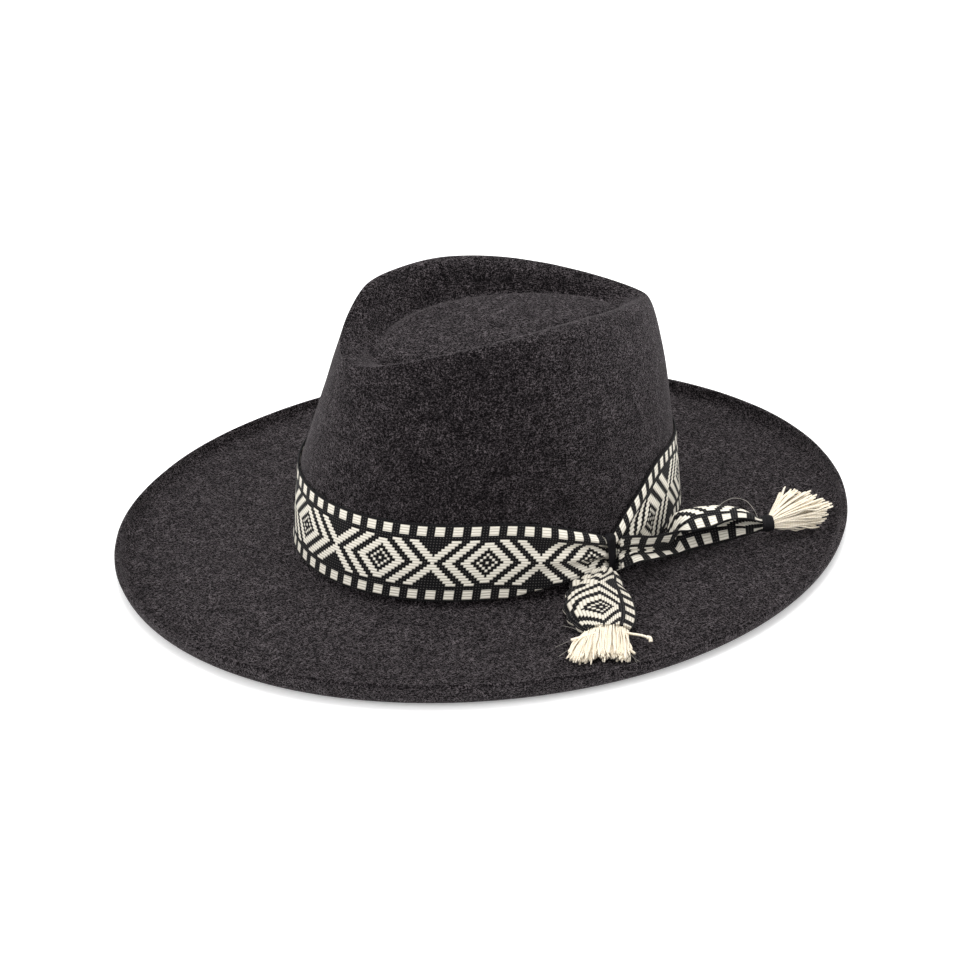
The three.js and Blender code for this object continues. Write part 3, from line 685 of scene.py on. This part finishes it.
class Yarns:
    """Collects tubes into one mesh. Its UVs are the distance along each tube and the turn round it."""

    def __init__(self, sides=6):
        self.sides = sides
        self.points, self.faces, self.uvs = [], [], []

    def add(self, line, radii):
        line = np.asarray(line, float)
        count, sides = len(line), self.sides
        ahead = unit(np.gradient(line, axis=0))
        lift = np.where(np.abs(ahead[:, 2:3]) > 0.9, np.array([[1.0, 0, 0]]), np.array([[0, 0, 1.0]]))
        side = unit(np.cross(ahead, lift))
        up = np.cross(side, ahead)
        run = np.concatenate([[0], np.cumsum(np.linalg.norm(np.diff(line, axis=0), axis=1))])
        base = len(self.points)
        for i in range(count):
            for k in range(sides):
                a = 2 * math.pi * k / sides
                self.points.append(line[i] + (side[i] * math.cos(a) + up[i] * math.sin(a)) * radii[i])
                self.uvs.append((run[i], k / sides))
        for i in range(count - 1):
            for k in range(sides):
                a, b = base + i * sides + k, base + i * sides + (k + 1) % sides
                self.faces.append((a, b, b + sides, a + sides))
        self.faces.append(tuple(base + k for k in reversed(range(sides))))
        self.faces.append(tuple(base + (count - 1) * sides + k for k in range(sides)))

    def make(self, name):
        return hat_piece(name, self.points, self.faces, np.array(self.uvs) * UV_SCALE)


# Where the yarns end and start: x, y and height, in order round each fan. First the long tail's ends
LONG_ENDS = [
    (88.9, 122.6, 25.0), (90.4, 126.2, 26.0), (91.0, 129.4, 24.0), (92.6, 131.6, 24.0), (94.2, 134.4, 23.0),
    (96.0, 135.6, 21.5), (97.6, 136.8, 21.5), (99.6, 139.2, 20.5), (101.0, 140.8, 19.0), (103.2, 141.6, 17.0),
    (104.6, 141.0, 14.0), (105.0, 138.6, 12.4), (104.6, 136.0, 11.0), (103.0, 131.0, 10.2),
    (102.6, 126.0, 10.0),
]
# then the short tail's ends, from the viewer's left to the right, and the places they leave from
SHORT_ENDS = [
    (139.0, -36.0, 4.8), (144.0, -38.6, 4.5), (149.6, -39.0, 4.4), (150.4, -35.4, 4.4), (150.4, -32.0, 4.3),
    (151.6, -28.8, 4.3), (153.4, -25.8, 4.3), (155.0, -23.0, 4.3), (156.8, -20.8, 4.3), (159.2, -19.4, 4.3),
    (161.0, -18.4, 4.4), (156.4, -14.6, 5.4),
]
SHORT_ROOTS = [
    (128.8, -21.6, 6.2), (130.4, -18.0, 8.8), (132.6, -12.6, 10.0), (134.8, -6.6, 9.6), (136.6, -2.6, 7.6),
]
# the long tassel's roots round the end of the tail, across it and up
LONG_ROOTS = [(1.9, 0.9), (1.2, 1.3), (0.2, 1.0), (-0.8, 0.4), (-1.5, -0.6), (-1.4, -1.5)]
ROOTS_PAST_TIE = 1.6
# each layer of yarns: seed of its draws, height over the middle one
LONG_LAYERS = [(3, 1.5), (4, 0.0), (5, -1.5)]
LONG_COUNT, LONG_THICK = 26, 0.5
# each layer of yarns: seed of its draws, half the yarn's thickness
SHORT_LAYERS = [(11, 0.42), (12, 0.46), (13, 0.6), (14, 0.85)]
SHORT_COUNT = 58
# loose yarns that stick out sideways from the short tassel: the way, half the thickness
STRAYS = [
    ([(135.0, -18.0, 8.6), (134.6, -24.0, 8.6), (133.2, -31.5, 8.0)], 0.75),
    ([(136.0, -19.0, 8.2), (134.6, -25.0, 8.0), (133.6, -30.5, 7.2)], 0.6),
    ([(139.0, -7.0, 7.6), (144.6, -5.4, 8.6), (149.4, -2.8, 9.2), (153.2, -0.4, 8.8)], 0.6),
    ([(152.0, -1.2, 8.9), (153.4, -0.2, 8.6), (154.6, -0.8, 7.4)], 0.95),
    ([(147.0, -11.4, 7.0), (152.6, -12.4, 6.8), (157.9, -11.9, 6.2)], 0.75),
]
# fine loose hairs: the way, half the thickness
HAIRS = [
    ([(89.1, 83.1, 25.6), (88.1, 86.2, 27.0), (89.9, 91.6, 29.0), (94.2, 95.8, 28.5), (99.6, 96.9, 26.0),
      (101.4, 98.6, 21.0)], 0.14),
    ([(134.4, -21.1, 8.0), (137.5, -33.3, 7.0), (138.7, -41.9, 5.2)], 0.13),
    ([(134.0, -21.3, 8.0), (132.0, -31.5, 7.0), (130.9, -39.2, 5.4)], 0.11),
    ([(150.8, -12.5, 6.0), (158.1, -13.2, 5.0), (162.6, -11.8, 3.8)], 0.12),
    ([(149.8, -13.3, 6.0), (156.3, -12.6, 5.0), (161.6, -13.3, 3.6)], 0.1),
    ([(130.4, -22.9, 8.4), (125.1, -25.9, 9.0), (119.5, -27.4, 8.0)], 0.09),
]
# how yarns stray from their row, in mm: at the root, at the end and in their curl
ROOT_STRAY, END_STRAY, CURL = 0.35, 0.9, 0.28
# no yarn sinks below this height over the floor, where the brim's felt is
YARN_LOWEST = 3.4
YARN_STEPS, STRAY_STEPS, HAIR_STEPS = 18, 12, 24


def fan(yarns, roots, ends, count, radius, bow, seed, loose):
    """Adds yarns from a row of roots to a row of ends, both read at the same share of the way."""
    draw = np.random.default_rng(seed)
    roots, ends = np.asarray(roots, float), np.asarray(ends, float)
    for k in range(count):
        share = (k + draw.uniform(-0.4, 0.4)) / (count - 1)
        share = min(max(share, 0), 1)
        a = np.array([column(list(enumerate(roots[:, j])), share * (len(roots) - 1)) for j in range(3)])
        b = np.array([column(list(enumerate(ends[:, j])), share * (len(ends) - 1)) for j in range(3)])
        a = a + draw.normal(0, ROOT_STRAY, 3)
        b = b + draw.normal(0, END_STRAY, 3) * (1, 1, 0.8)
        short = draw.uniform(0.9, 1.0)
        t = np.linspace(0, short, YARN_STEPS)[:, None]
        line = a + (b - a) * t
        line[:, 2] += bow * np.sin(math.pi * t[:, 0])
        sway = draw.normal(0, loose, 3)
        line += sway * (np.sin(math.pi * t * draw.uniform(0.8, 1.6)) * t)
        curl = draw.normal(0, CURL, 3)
        line += curl * np.sin(2 * math.pi * (t * draw.uniform(1.6, 3.0) + draw.uniform(0, 1))) * t
        line[:, 2] = np.maximum(line[:, 2], YARN_LOWEST)
        radii = radius * draw.uniform(0.85, 1.15) * (0.8 + 0.25 * t[:, 0])
        radii[-1] *= 0.7
        yarns.add(line, radii)


def make_long_tassel():
    """Three layers of yarns that fan out past the tie."""
    ahead = np.array([math.cos(TIE_HEADING), math.sin(TIE_HEADING), 0.0])
    side = np.array([-math.sin(TIE_HEADING), math.cos(TIE_HEADING), 0.0])
    centre = np.array(TIE_PLACE) + ahead * ROOTS_PAST_TIE
    yarns = Yarns()
    for layer, (seed, high) in enumerate(LONG_LAYERS):
        roots = [centre + side * across + np.array([0, 0, z + high * 0.5]) for across, z in LONG_ROOTS]
        ends = [(x - 0.6 * layer, y, max(z - 2.0 * layer, 4.2)) for x, y, z in LONG_ENDS]
        fan(yarns, roots, ends, LONG_COUNT, LONG_THICK, 1.6 - layer, seed, 0.8)
    return yarns.make("long_tassel_yarn")


def make_short_tassel():
    """Four layers of yarns from the curled end, thicker toward the felt, and a few strays."""
    yarns = Yarns()
    for layer, (seed, thick) in enumerate(SHORT_LAYERS):
        roots = [(x - 1.0, y + 0.5, z - 0.5 - 0.8 * layer) for x, y, z in SHORT_ROOTS]
        ends = [(x - 1.0 * layer, y + 0.5 * layer, z + 0.9 * max(2 - layer, 0)) for x, y, z in SHORT_ENDS]
        fan(yarns, roots, ends, SHORT_COUNT, thick, 1.0, seed, 0.7)
    for line, thick in STRAYS:
        yarns.add(spline(line, STRAY_STEPS), np.full(STRAY_STEPS, thick))
    return yarns.make("short_tassel_yarn")


def make_hairs():
    hairs = Yarns(5)
    for line, thick in HAIRS:
        hairs.add(spline(line, HAIR_STEPS), np.full(HAIR_STEPS, thick))
    return hairs.make("loose_hairs")


felt = make_felt()
band = make_band()
long_tail = make_long_tail()
short_tail = make_short_tail()
knot = make_knot()
tie = make_tie()
long_tassel = make_long_tassel()
short_tassel = make_short_tassel()
hairs = make_hairs()


def linear(hexa):
    """An sRGB hex colour as linear RGBA."""
    out = []
    for i in (1, 3, 5):
        c = int(hexa[i : i + 2], 16) / 255
        out.append(c / 12.92 if c <= 0.04045 else ((c + 0.055) / 1.055) ** 2.4)
    return (*out, 1.0)


def node(tree, kind, inputs=(), output=0, stops=(), **settings):
    """Adds a shader node with its settings and grey stops, sets or links its inputs, given in order
    or by name, and gives one of its outputs."""
    made = tree.nodes.new("ShaderNode" + kind)
    for key, value in settings.items():
        setattr(made, key, value)
    for key, value in inputs.items() if isinstance(inputs, dict) else enumerate(inputs):
        if isinstance(value, bpy.types.NodeSocket):
            tree.links.new(value, made.inputs[key])
        else:
            made.inputs[key].default_value = value
    if stops:
        points = made.color_ramp.elements
        while len(points) < len(stops):
            points.new(0.5)
        for point, (position, grey) in zip(points, stops):
            point.position = position
            point.color = (grey, grey, grey, 1)
    return made.outputs[output]


def material(name, finish):
    """A material whose shader has the constants in finish."""
    mat = bpy.data.materials.new(name)
    mat.use_nodes = True
    shader = mat.node_tree.nodes["Principled BSDF"]
    for key, value in finish.items():
        shader.inputs[key].default_value = value
    return mat, mat.node_tree, shader


# how each set of the felt's fibres is stretched along x, y and z
FIBRE_SETS = [(0.35, 1.0, 1.6), (1.0, 0.35, 1.6), (1.0, 1.0, 0.6)]
# in fibres and clouds to the metre
FIBRE_RATE, CLOUD_RATE = 1350.0, 160.0
# sheen of the bare ground, and how much a fleck adds to it
GROUND_SHEEN, FLECK_SHEEN = 0.15, 0.3


def felt_material():
    """Wool felt, blocked wet and brushed up a little. Light and dark wool were mixed before felting,
    so the eye sees a near black ground with grey flecks and no shine, but a soft glow where the
    nap stands up. Its fibres are far finer than the render shows, so they are drawn about
    0.7 mm apart."""
    mat, tree, shader = material("brushed_wool_felt", {
        "Roughness": 0.95, "Specular IOR Level": 0.04, "Sheen Tint": linear("#f0e6ea"), "Sheen Roughness": 0.3})
    where = node(tree, "TexCoord", output="Object")
    every = None
    for k, stretch in enumerate(FIBRE_SETS):
        mapped = node(tree, "Mapping", {"Vector": where, "Scale": stretch, "Location": (k, 2 * k, 3 * k),
                                        "Rotation": (0.4 * k, 0.3, 0.7 * k)})
        fibre = node(tree, "TexNoise", {"Vector": mapped, "Scale": FIBRE_RATE, "Detail": 1.5,
                                        "Roughness": 0.7, "Distortion": 0.6})
        fibre = node(tree, "ValToRGB", (fibre,), stops=[(0.55, 0.0), (0.63, 0.4), (0.69, 1.0)])
        # the lightest of the three sets shows
        every = fibre if every is None else node(
            tree, "Mix", {0: 1.0, 6: every, 7: fibre}, 2, data_type="RGBA", blend_type="LIGHTEN")
    cloud = node(tree, "TexNoise", {"Vector": where, "Scale": CLOUD_RATE, "Detail": 3.0, "Roughness": 0.6})
    amount = node(tree, "ValToRGB", (cloud,), stops=[(0.3, 0.35), (0.7, 0.95)])
    fleck = node(tree, "Math", (every, amount), operation="MULTIPLY")
    patch = node(tree, "ValToRGB", (cloud,), stops=[(0.35, 0.0), (0.65, 1.0)])
    ground = node(tree, "Mix", {0: patch, 6: linear("#030203"), 7: linear("#080607")}, 2, data_type="RGBA")
    colour = node(tree, "Mix", {0: fleck, 6: ground, 7: linear("#686164")}, 2, data_type="RGBA")
    tree.links.new(colour, shader.inputs["Base Color"])
    sheen = node(tree, "Math", (fleck, FLECK_SHEEN, GROUND_SHEEN), operation="MULTIPLY_ADD")
    tree.links.new(sheen, shader.inputs["Sheen Weight"])
    height = node(tree, "Math", (every, cloud), operation="ADD")
    bump = node(tree, "Bump", {"Height": height, "Distance": 0.0006, "Strength": 0.8})
    tree.links.new(bump, shader.inputs["Normal"])
    return mat


# The woven chart. In the field, a cell is pale at these steps from the nearest diamond's middle,
# counted along the ribbon and across it together
PALE_STEPS = [(0.0, 0.42), (2.58, 3.42), (5.4, 8.6), (11.4, 14.6), (17.4, 20.6)]
STEP_EDGE = 0.14
STEPS_IN_ALL = 32.0
# the tight rings round a diamond's middle stop one row short of the field's edge
RING_STEPS, RING_ROWS = 9.5, 7.5
# rows in from a border: where the blocks start and stop, with soft edges, and where the field starts
BLOCK_ROWS = [(0.45, 0.0), (0.6, 1.0), (3.9, 1.0), (4.05, 0.0)]
ROWS_IN_ALL = 16.0
FIELD_FROM = 5.55
# half of a block and the gap beside it, and where the block ends, in cells
BLOCK_HALF = 3.0
BLOCK_END = [(1.5, 1.0), (1.72, 0.0)]
BLOCK_SHIFT = 1.0
# added to a count so that it stays over zero, a whole number of repeats
FAR_ON = 1000.0
# a pin dot's half width in its cell, its start across the row, and how strongly it shows
DOT_HALF, DOT_FROM, DOT_SHOWS = 0.17, 0.36, 0.35
FLOAT_ROUND = 2.5


def chart_stops(stops, in_all):
    return [(at / in_all, grey) for at, grey in stops]


def pale_stops():
    stops = []
    for low, high in PALE_STEPS:
        stops += [(low - STEP_EDGE, 0.0), (low + STEP_EDGE, 1.0)] if low else [(0.0, 1.0)]
        stops += [(high - STEP_EDGE, 1.0), (high + STEP_EDGE, 0.0)]
    return stops


# how the chart is read: result, operation or grey stops, inputs
WEAVE = [
    ("cells", "MULTIPLY", "run", 1 / UV_SCALE / CELL),
    ("row", "MULTIPLY", "over", WIDTH_ROWS / UV_SCALE / RIBBON_WIDTH),
    # the field: steps from the nearest diamond's middle
    ("onward", "ADD", "cells", FAR_ON * REPEAT),
    ("wrapped", "PINGPONG", "onward", REPEAT / 2),
    ("offset", "SUBTRACT", "row", WIDTH_ROWS / 2),
    ("whole", "ROUND", "offset"),
    ("field_row", "ABSOLUTE", "whole"),
    ("steps", "ADD", "wrapped", "field_row"),
    ("share", "DIVIDE", "steps", STEPS_IN_ALL),
    ("field", chart_stops(pale_stops(), STEPS_IN_ALL), "share"),
    ("outer", "GREATER_THAN", "field_row", RING_ROWS),
    ("inner", "LESS_THAN", "steps", RING_STEPS),
    ("clipped", "MULTIPLY", "outer", "inner"),
    ("kept", "SUBTRACT", 1.0, "clipped"),
    ("field", "MULTIPLY", "field", "kept"),
    # the borders: blocks along both of them
    ("mirrored", "SUBTRACT", WIDTH_ROWS, "row"),
    ("inward", "MINIMUM", "row", "mirrored"),
    ("share", "DIVIDE", "inward", ROWS_IN_ALL),
    ("zone", chart_stops(BLOCK_ROWS, ROWS_IN_ALL), "share"),
    ("onward", "ADD", "cells", FAR_ON * REPEAT + BLOCK_SHIFT),
    ("place", "PINGPONG", "onward", BLOCK_HALF),
    ("share", "DIVIDE", "place", BLOCK_HALF),
    ("block", chart_stops(BLOCK_END, BLOCK_HALF), "share"),
    ("block", "MULTIPLY", "zone", "block"),
    ("in_field", "GREATER_THAN", "inward", FIELD_FROM),
    ("field", "MULTIPLY", "in_field", "field"),
    ("sum", "ADD", "block", "field"),
    ("pale", "MINIMUM", "sum", 1.0),
    # each row is one float, rounded across
    ("shifted", "ADD", "offset", FAR_ON + 0.5),
    ("place", "FRACT", "shifted"),
    ("centred", "MULTIPLY_ADD", "place", 2.0, -1.0),
    ("side", "ABSOLUTE", "centred"),
    ("fall", "POWER", "side", FLOAT_ROUND),
    ("crown", "SUBTRACT", 1.0, "fall"),
    # pin dots of the pale yarn through the dark ground
    ("part", "FRACT", "cells"),
    ("part", "SUBTRACT", "part", 0.5),
    ("near", "ABSOLUTE", "part"),
    ("dot_along", "LESS_THAN", "near", DOT_HALF),
    ("part", "SUBTRACT", "place", 0.5),
    ("near", "ABSOLUTE", "part"),
    ("dot_across", "GREATER_THAN", "near", DOT_FROM),
    ("dot", "MULTIPLY", "dot_along", "dot_across"),
    ("dot", "MULTIPLY", "dot", DOT_SHOWS),
    # the floats stand up over the ground, which is ribbed too
    ("wear", "MULTIPLY", "fuzz", 0.25),
    ("lift", "MULTIPLY_ADD", "crown", 0.6, 0.4),
    ("lift", "MULTIPLY", "pale", "lift"),
    ("height", "MULTIPLY_ADD", "crown", 0.15, "lift"),
    ("height", "MULTIPLY_ADD", "fuzz", 0.2, "height"),
]


def woven_material(name, groove, top, worn):
    """Cotton ribbon, woven on a band loom from black and cream yarn. The cream yarns float over the
    black ground in rows, so the eye sees raised cream figures with fine grooves and a few pin
    dots in the black, all without a shine. The rows are at their real distance, 1.5 mm."""
    mat, tree, shader = material(name, {"Roughness": 0.85, "Specular IOR Level": 0.15, "Sheen Weight": 0.04})
    where = node(tree, "TexCoord", output="Object")
    uv = node(tree, "TexCoord", output="UV")
    made = {
        "run": node(tree, "SeparateXYZ", (uv,), "X"),
        "over": node(tree, "SeparateXYZ", (uv,), "Y"),
        "fuzz": node(tree, "TexNoise", {"Vector": where, "Scale": 900.0, "Detail": 3.0}),
    }
    for result, how, *given in WEAVE:
        given = [made.get(value, value) for value in given]
        if isinstance(how, str):
            made[result] = node(tree, "Math", given, operation=how)
        else:
            made[result] = node(tree, "ValToRGB", given, stops=how)
    dark = node(tree, "Mix", {0: made["dot"], 6: linear("#0a090b"), 7: linear("#8a8784")}, 2, data_type="RGBA")
    # painted shade: the cream is painted darker from each float's top toward its sides, as if the grooves
    # between the rows lay in shade
    light = node(tree, "Mix", {0: made["crown"], 6: linear(groove), 7: linear(top)}, 2, data_type="RGBA")
    light = node(tree, "Mix", {0: made["wear"], 6: light, 7: linear(worn)}, 2, data_type="RGBA")
    colour = node(tree, "Mix", {0: made["pale"], 6: dark, 7: light}, 2, data_type="RGBA")
    tree.links.new(colour, shader.inputs["Base Color"])
    bump = node(tree, "Bump", {"Height": made["height"], "Distance": 0.0004, "Strength": 0.8})
    tree.links.new(bump, shader.inputs["Normal"])
    return mat


# one twist of a yarn in this many mm, of this many plies
TWIST, PLIES = 2.2, 3.0


def yarn_material(name, pale, deep):
    """Soft cotton yarn, spun and plied and left undyed. The eye sees fine pale strands that wind
    round, with slightly darker grooves between them, and a little down."""
    mat, tree, shader = material(name, {"Roughness": 0.9, "Specular IOR Level": 0.2, "Sheen Weight": 0.2})
    uv = node(tree, "TexCoord", output="UV")
    run, over = (node(tree, "SeparateXYZ", (uv,), axis) for axis in ("X", "Y"))
    round_it = node(tree, "Math", (over, 1 / UV_SCALE), operation="MULTIPLY")
    twist = node(tree, "Math", (run, 1 / UV_SCALE / TWIST, round_it), operation="MULTIPLY_ADD")
    plies = node(tree, "Math", (twist, PLIES), operation="MULTIPLY")
    ply = node(tree, "Math", (plies, 1.0), operation="PINGPONG")
    where = node(tree, "TexCoord", output="Object")
    down = node(tree, "TexNoise", {"Vector": where, "Scale": 350.0, "Detail": 4.0})
    # painted shade: the yarn is painted darker in the grooves between its plies, and darker again at random
    # where the down is thin
    shade = node(tree, "Math", (ply, down), operation="MULTIPLY")
    shade = node(tree, "ValToRGB", (shade,), stops=[(0.05, 0.0), (0.45, 1.0)])
    colour = node(tree, "Mix", {0: shade, 6: linear(deep), 7: linear(pale)}, 2, data_type="RGBA")
    tree.links.new(colour, shader.inputs["Base Color"])
    bump = node(tree, "Bump", {"Height": ply, "Distance": 0.0002, "Strength": 0.6})
    tree.links.new(bump, shader.inputs["Normal"])
    return mat


def thread_material():
    """Black cotton thread, wound tight. The eye sees dull black turns with a trace of grey down."""
    mat, tree, shader = material("black_cotton_thread", {"Roughness": 0.75, "Specular IOR Level": 0.22})
    where = node(tree, "TexCoord", output="Object")
    down = node(tree, "TexNoise", {"Vector": where, "Scale": 1400.0, "Detail": 3.0})
    shade = node(tree, "ValToRGB", (down,), stops=[(0.45, 0.0), (0.7, 1.0)])
    colour = node(tree, "Mix", {0: shade, 6: linear("#09080a"), 7: linear("#1b191e")}, 2, data_type="RGBA")
    tree.links.new(colour, shader.inputs["Base Color"])
    bump = node(tree, "Bump", {"Height": down, "Distance": 0.0003, "Strength": 0.6})
    tree.links.new(bump, shader.inputs["Normal"])
    return mat


# each woven look is given its painted shade for the grooves between floats first, then its float top and its
# worn tone
woven = woven_material("woven_ribbon", "#bcb5a5", "#f3eee2", "#d0c8b6")
# painted shade: the curled end faces the light, so its cream is painted a little greyer than the band's, so
# that it doesn't outshine the band
woven_shaded_end = woven_material("woven_ribbon_painted_shade", "#a59e8e", "#dbd5c8", "#b6ae9c")
thread = thread_material()
yarn = yarn_material("undyed_cotton_yarn", "#f1e8d8", "#e4d8c0")
hair = yarn_material("loose_cotton_hair", "#a7a39b", "#77736c")
# piece, material, node that it takes the place of, slot
DRESS = [
    (felt, felt_material(), "felt_body", "felt"),
    (band, woven, "hat_band", "ribbon"),
    (long_tail, woven, "tail_long", "ribbon"),
    (short_tail, woven_shaded_end, "tail_short", "ribbon"),
    (knot, thread, "knot_wrap", "thread"),
    (tie, thread, "tie_long", "thread"),
    (long_tassel, yarn, "tassel_long", "cotton"),
    (short_tassel, yarn, "tassel_short", "cotton"),
    (hairs, hair, None, "cotton"),
]
for piece, look, stands_for, slot in DRESS:
    piece.data.materials.append(look)
    if stands_for:
        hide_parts(stands_for)
    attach(piece, "root")


# softboxes: name, place, aim, size in metres, power in watts
LAMPS = [
    ("top_light", (-0.1, 0.1, 1.85), (0, 0, 0), 1.2, 25),
    ("front_light", (0.1, -1.9, 1.0), (0, 0, 0.05), 1.4, 15.5),
    ("right_light", (1.5, 1.6, 0.8), (0, 0, 0.05), 1.2, 9),
]
ROOM_LIGHT = 0.93
# the floor is a little below the brim, and glows a little so that it stays white to its edges
FLOOR_SIZE, FLOOR_DROP, FLOOR_GLOW = 8.0, 0.0005, 0.25


def make_stage():
    """A sheet of white paper under the hat, in a white room with three softboxes."""
    bpy.ops.object.select_all(action="DESELECT")
    bpy.ops.mesh.primitive_plane_add(size=FLOOR_SIZE, location=(0, 0, -FLOOR_DROP))
    floor = bpy.context.active_object
    floor.name = "floor"
    paper, _, _ = material("white_paper", {
        "Roughness": 0.9, "Base Color": linear("#fafafa"), "Emission Color": linear("#ffffff"),
        "Emission Strength": FLOOR_GLOW})
    floor.data.materials.append(paper)
    bpy.context.scene.view_settings.view_transform = "Standard"
    world = bpy.context.scene.world or bpy.data.worlds.new("world")
    bpy.context.scene.world = world
    world.use_nodes = True
    room = world.node_tree.nodes["Background"]
    room.inputs["Color"].default_value = linear("#ffffff")
    room.inputs["Strength"].default_value = ROOM_LIGHT
    for name, place, aim, size, power in LAMPS:
        data = bpy.data.lights.new(name, "AREA")
        data.size, data.energy = size, power
        lamp = bpy.data.objects.new(name, data)
        bpy.context.collection.objects.link(lamp)
        lamp.location = place
        lamp.rotation_mode = "QUATERNION"
        lamp.rotation_quaternion = (Vector(aim) - Vector(place)).to_track_quat("-Z", "Y")


make_stage()
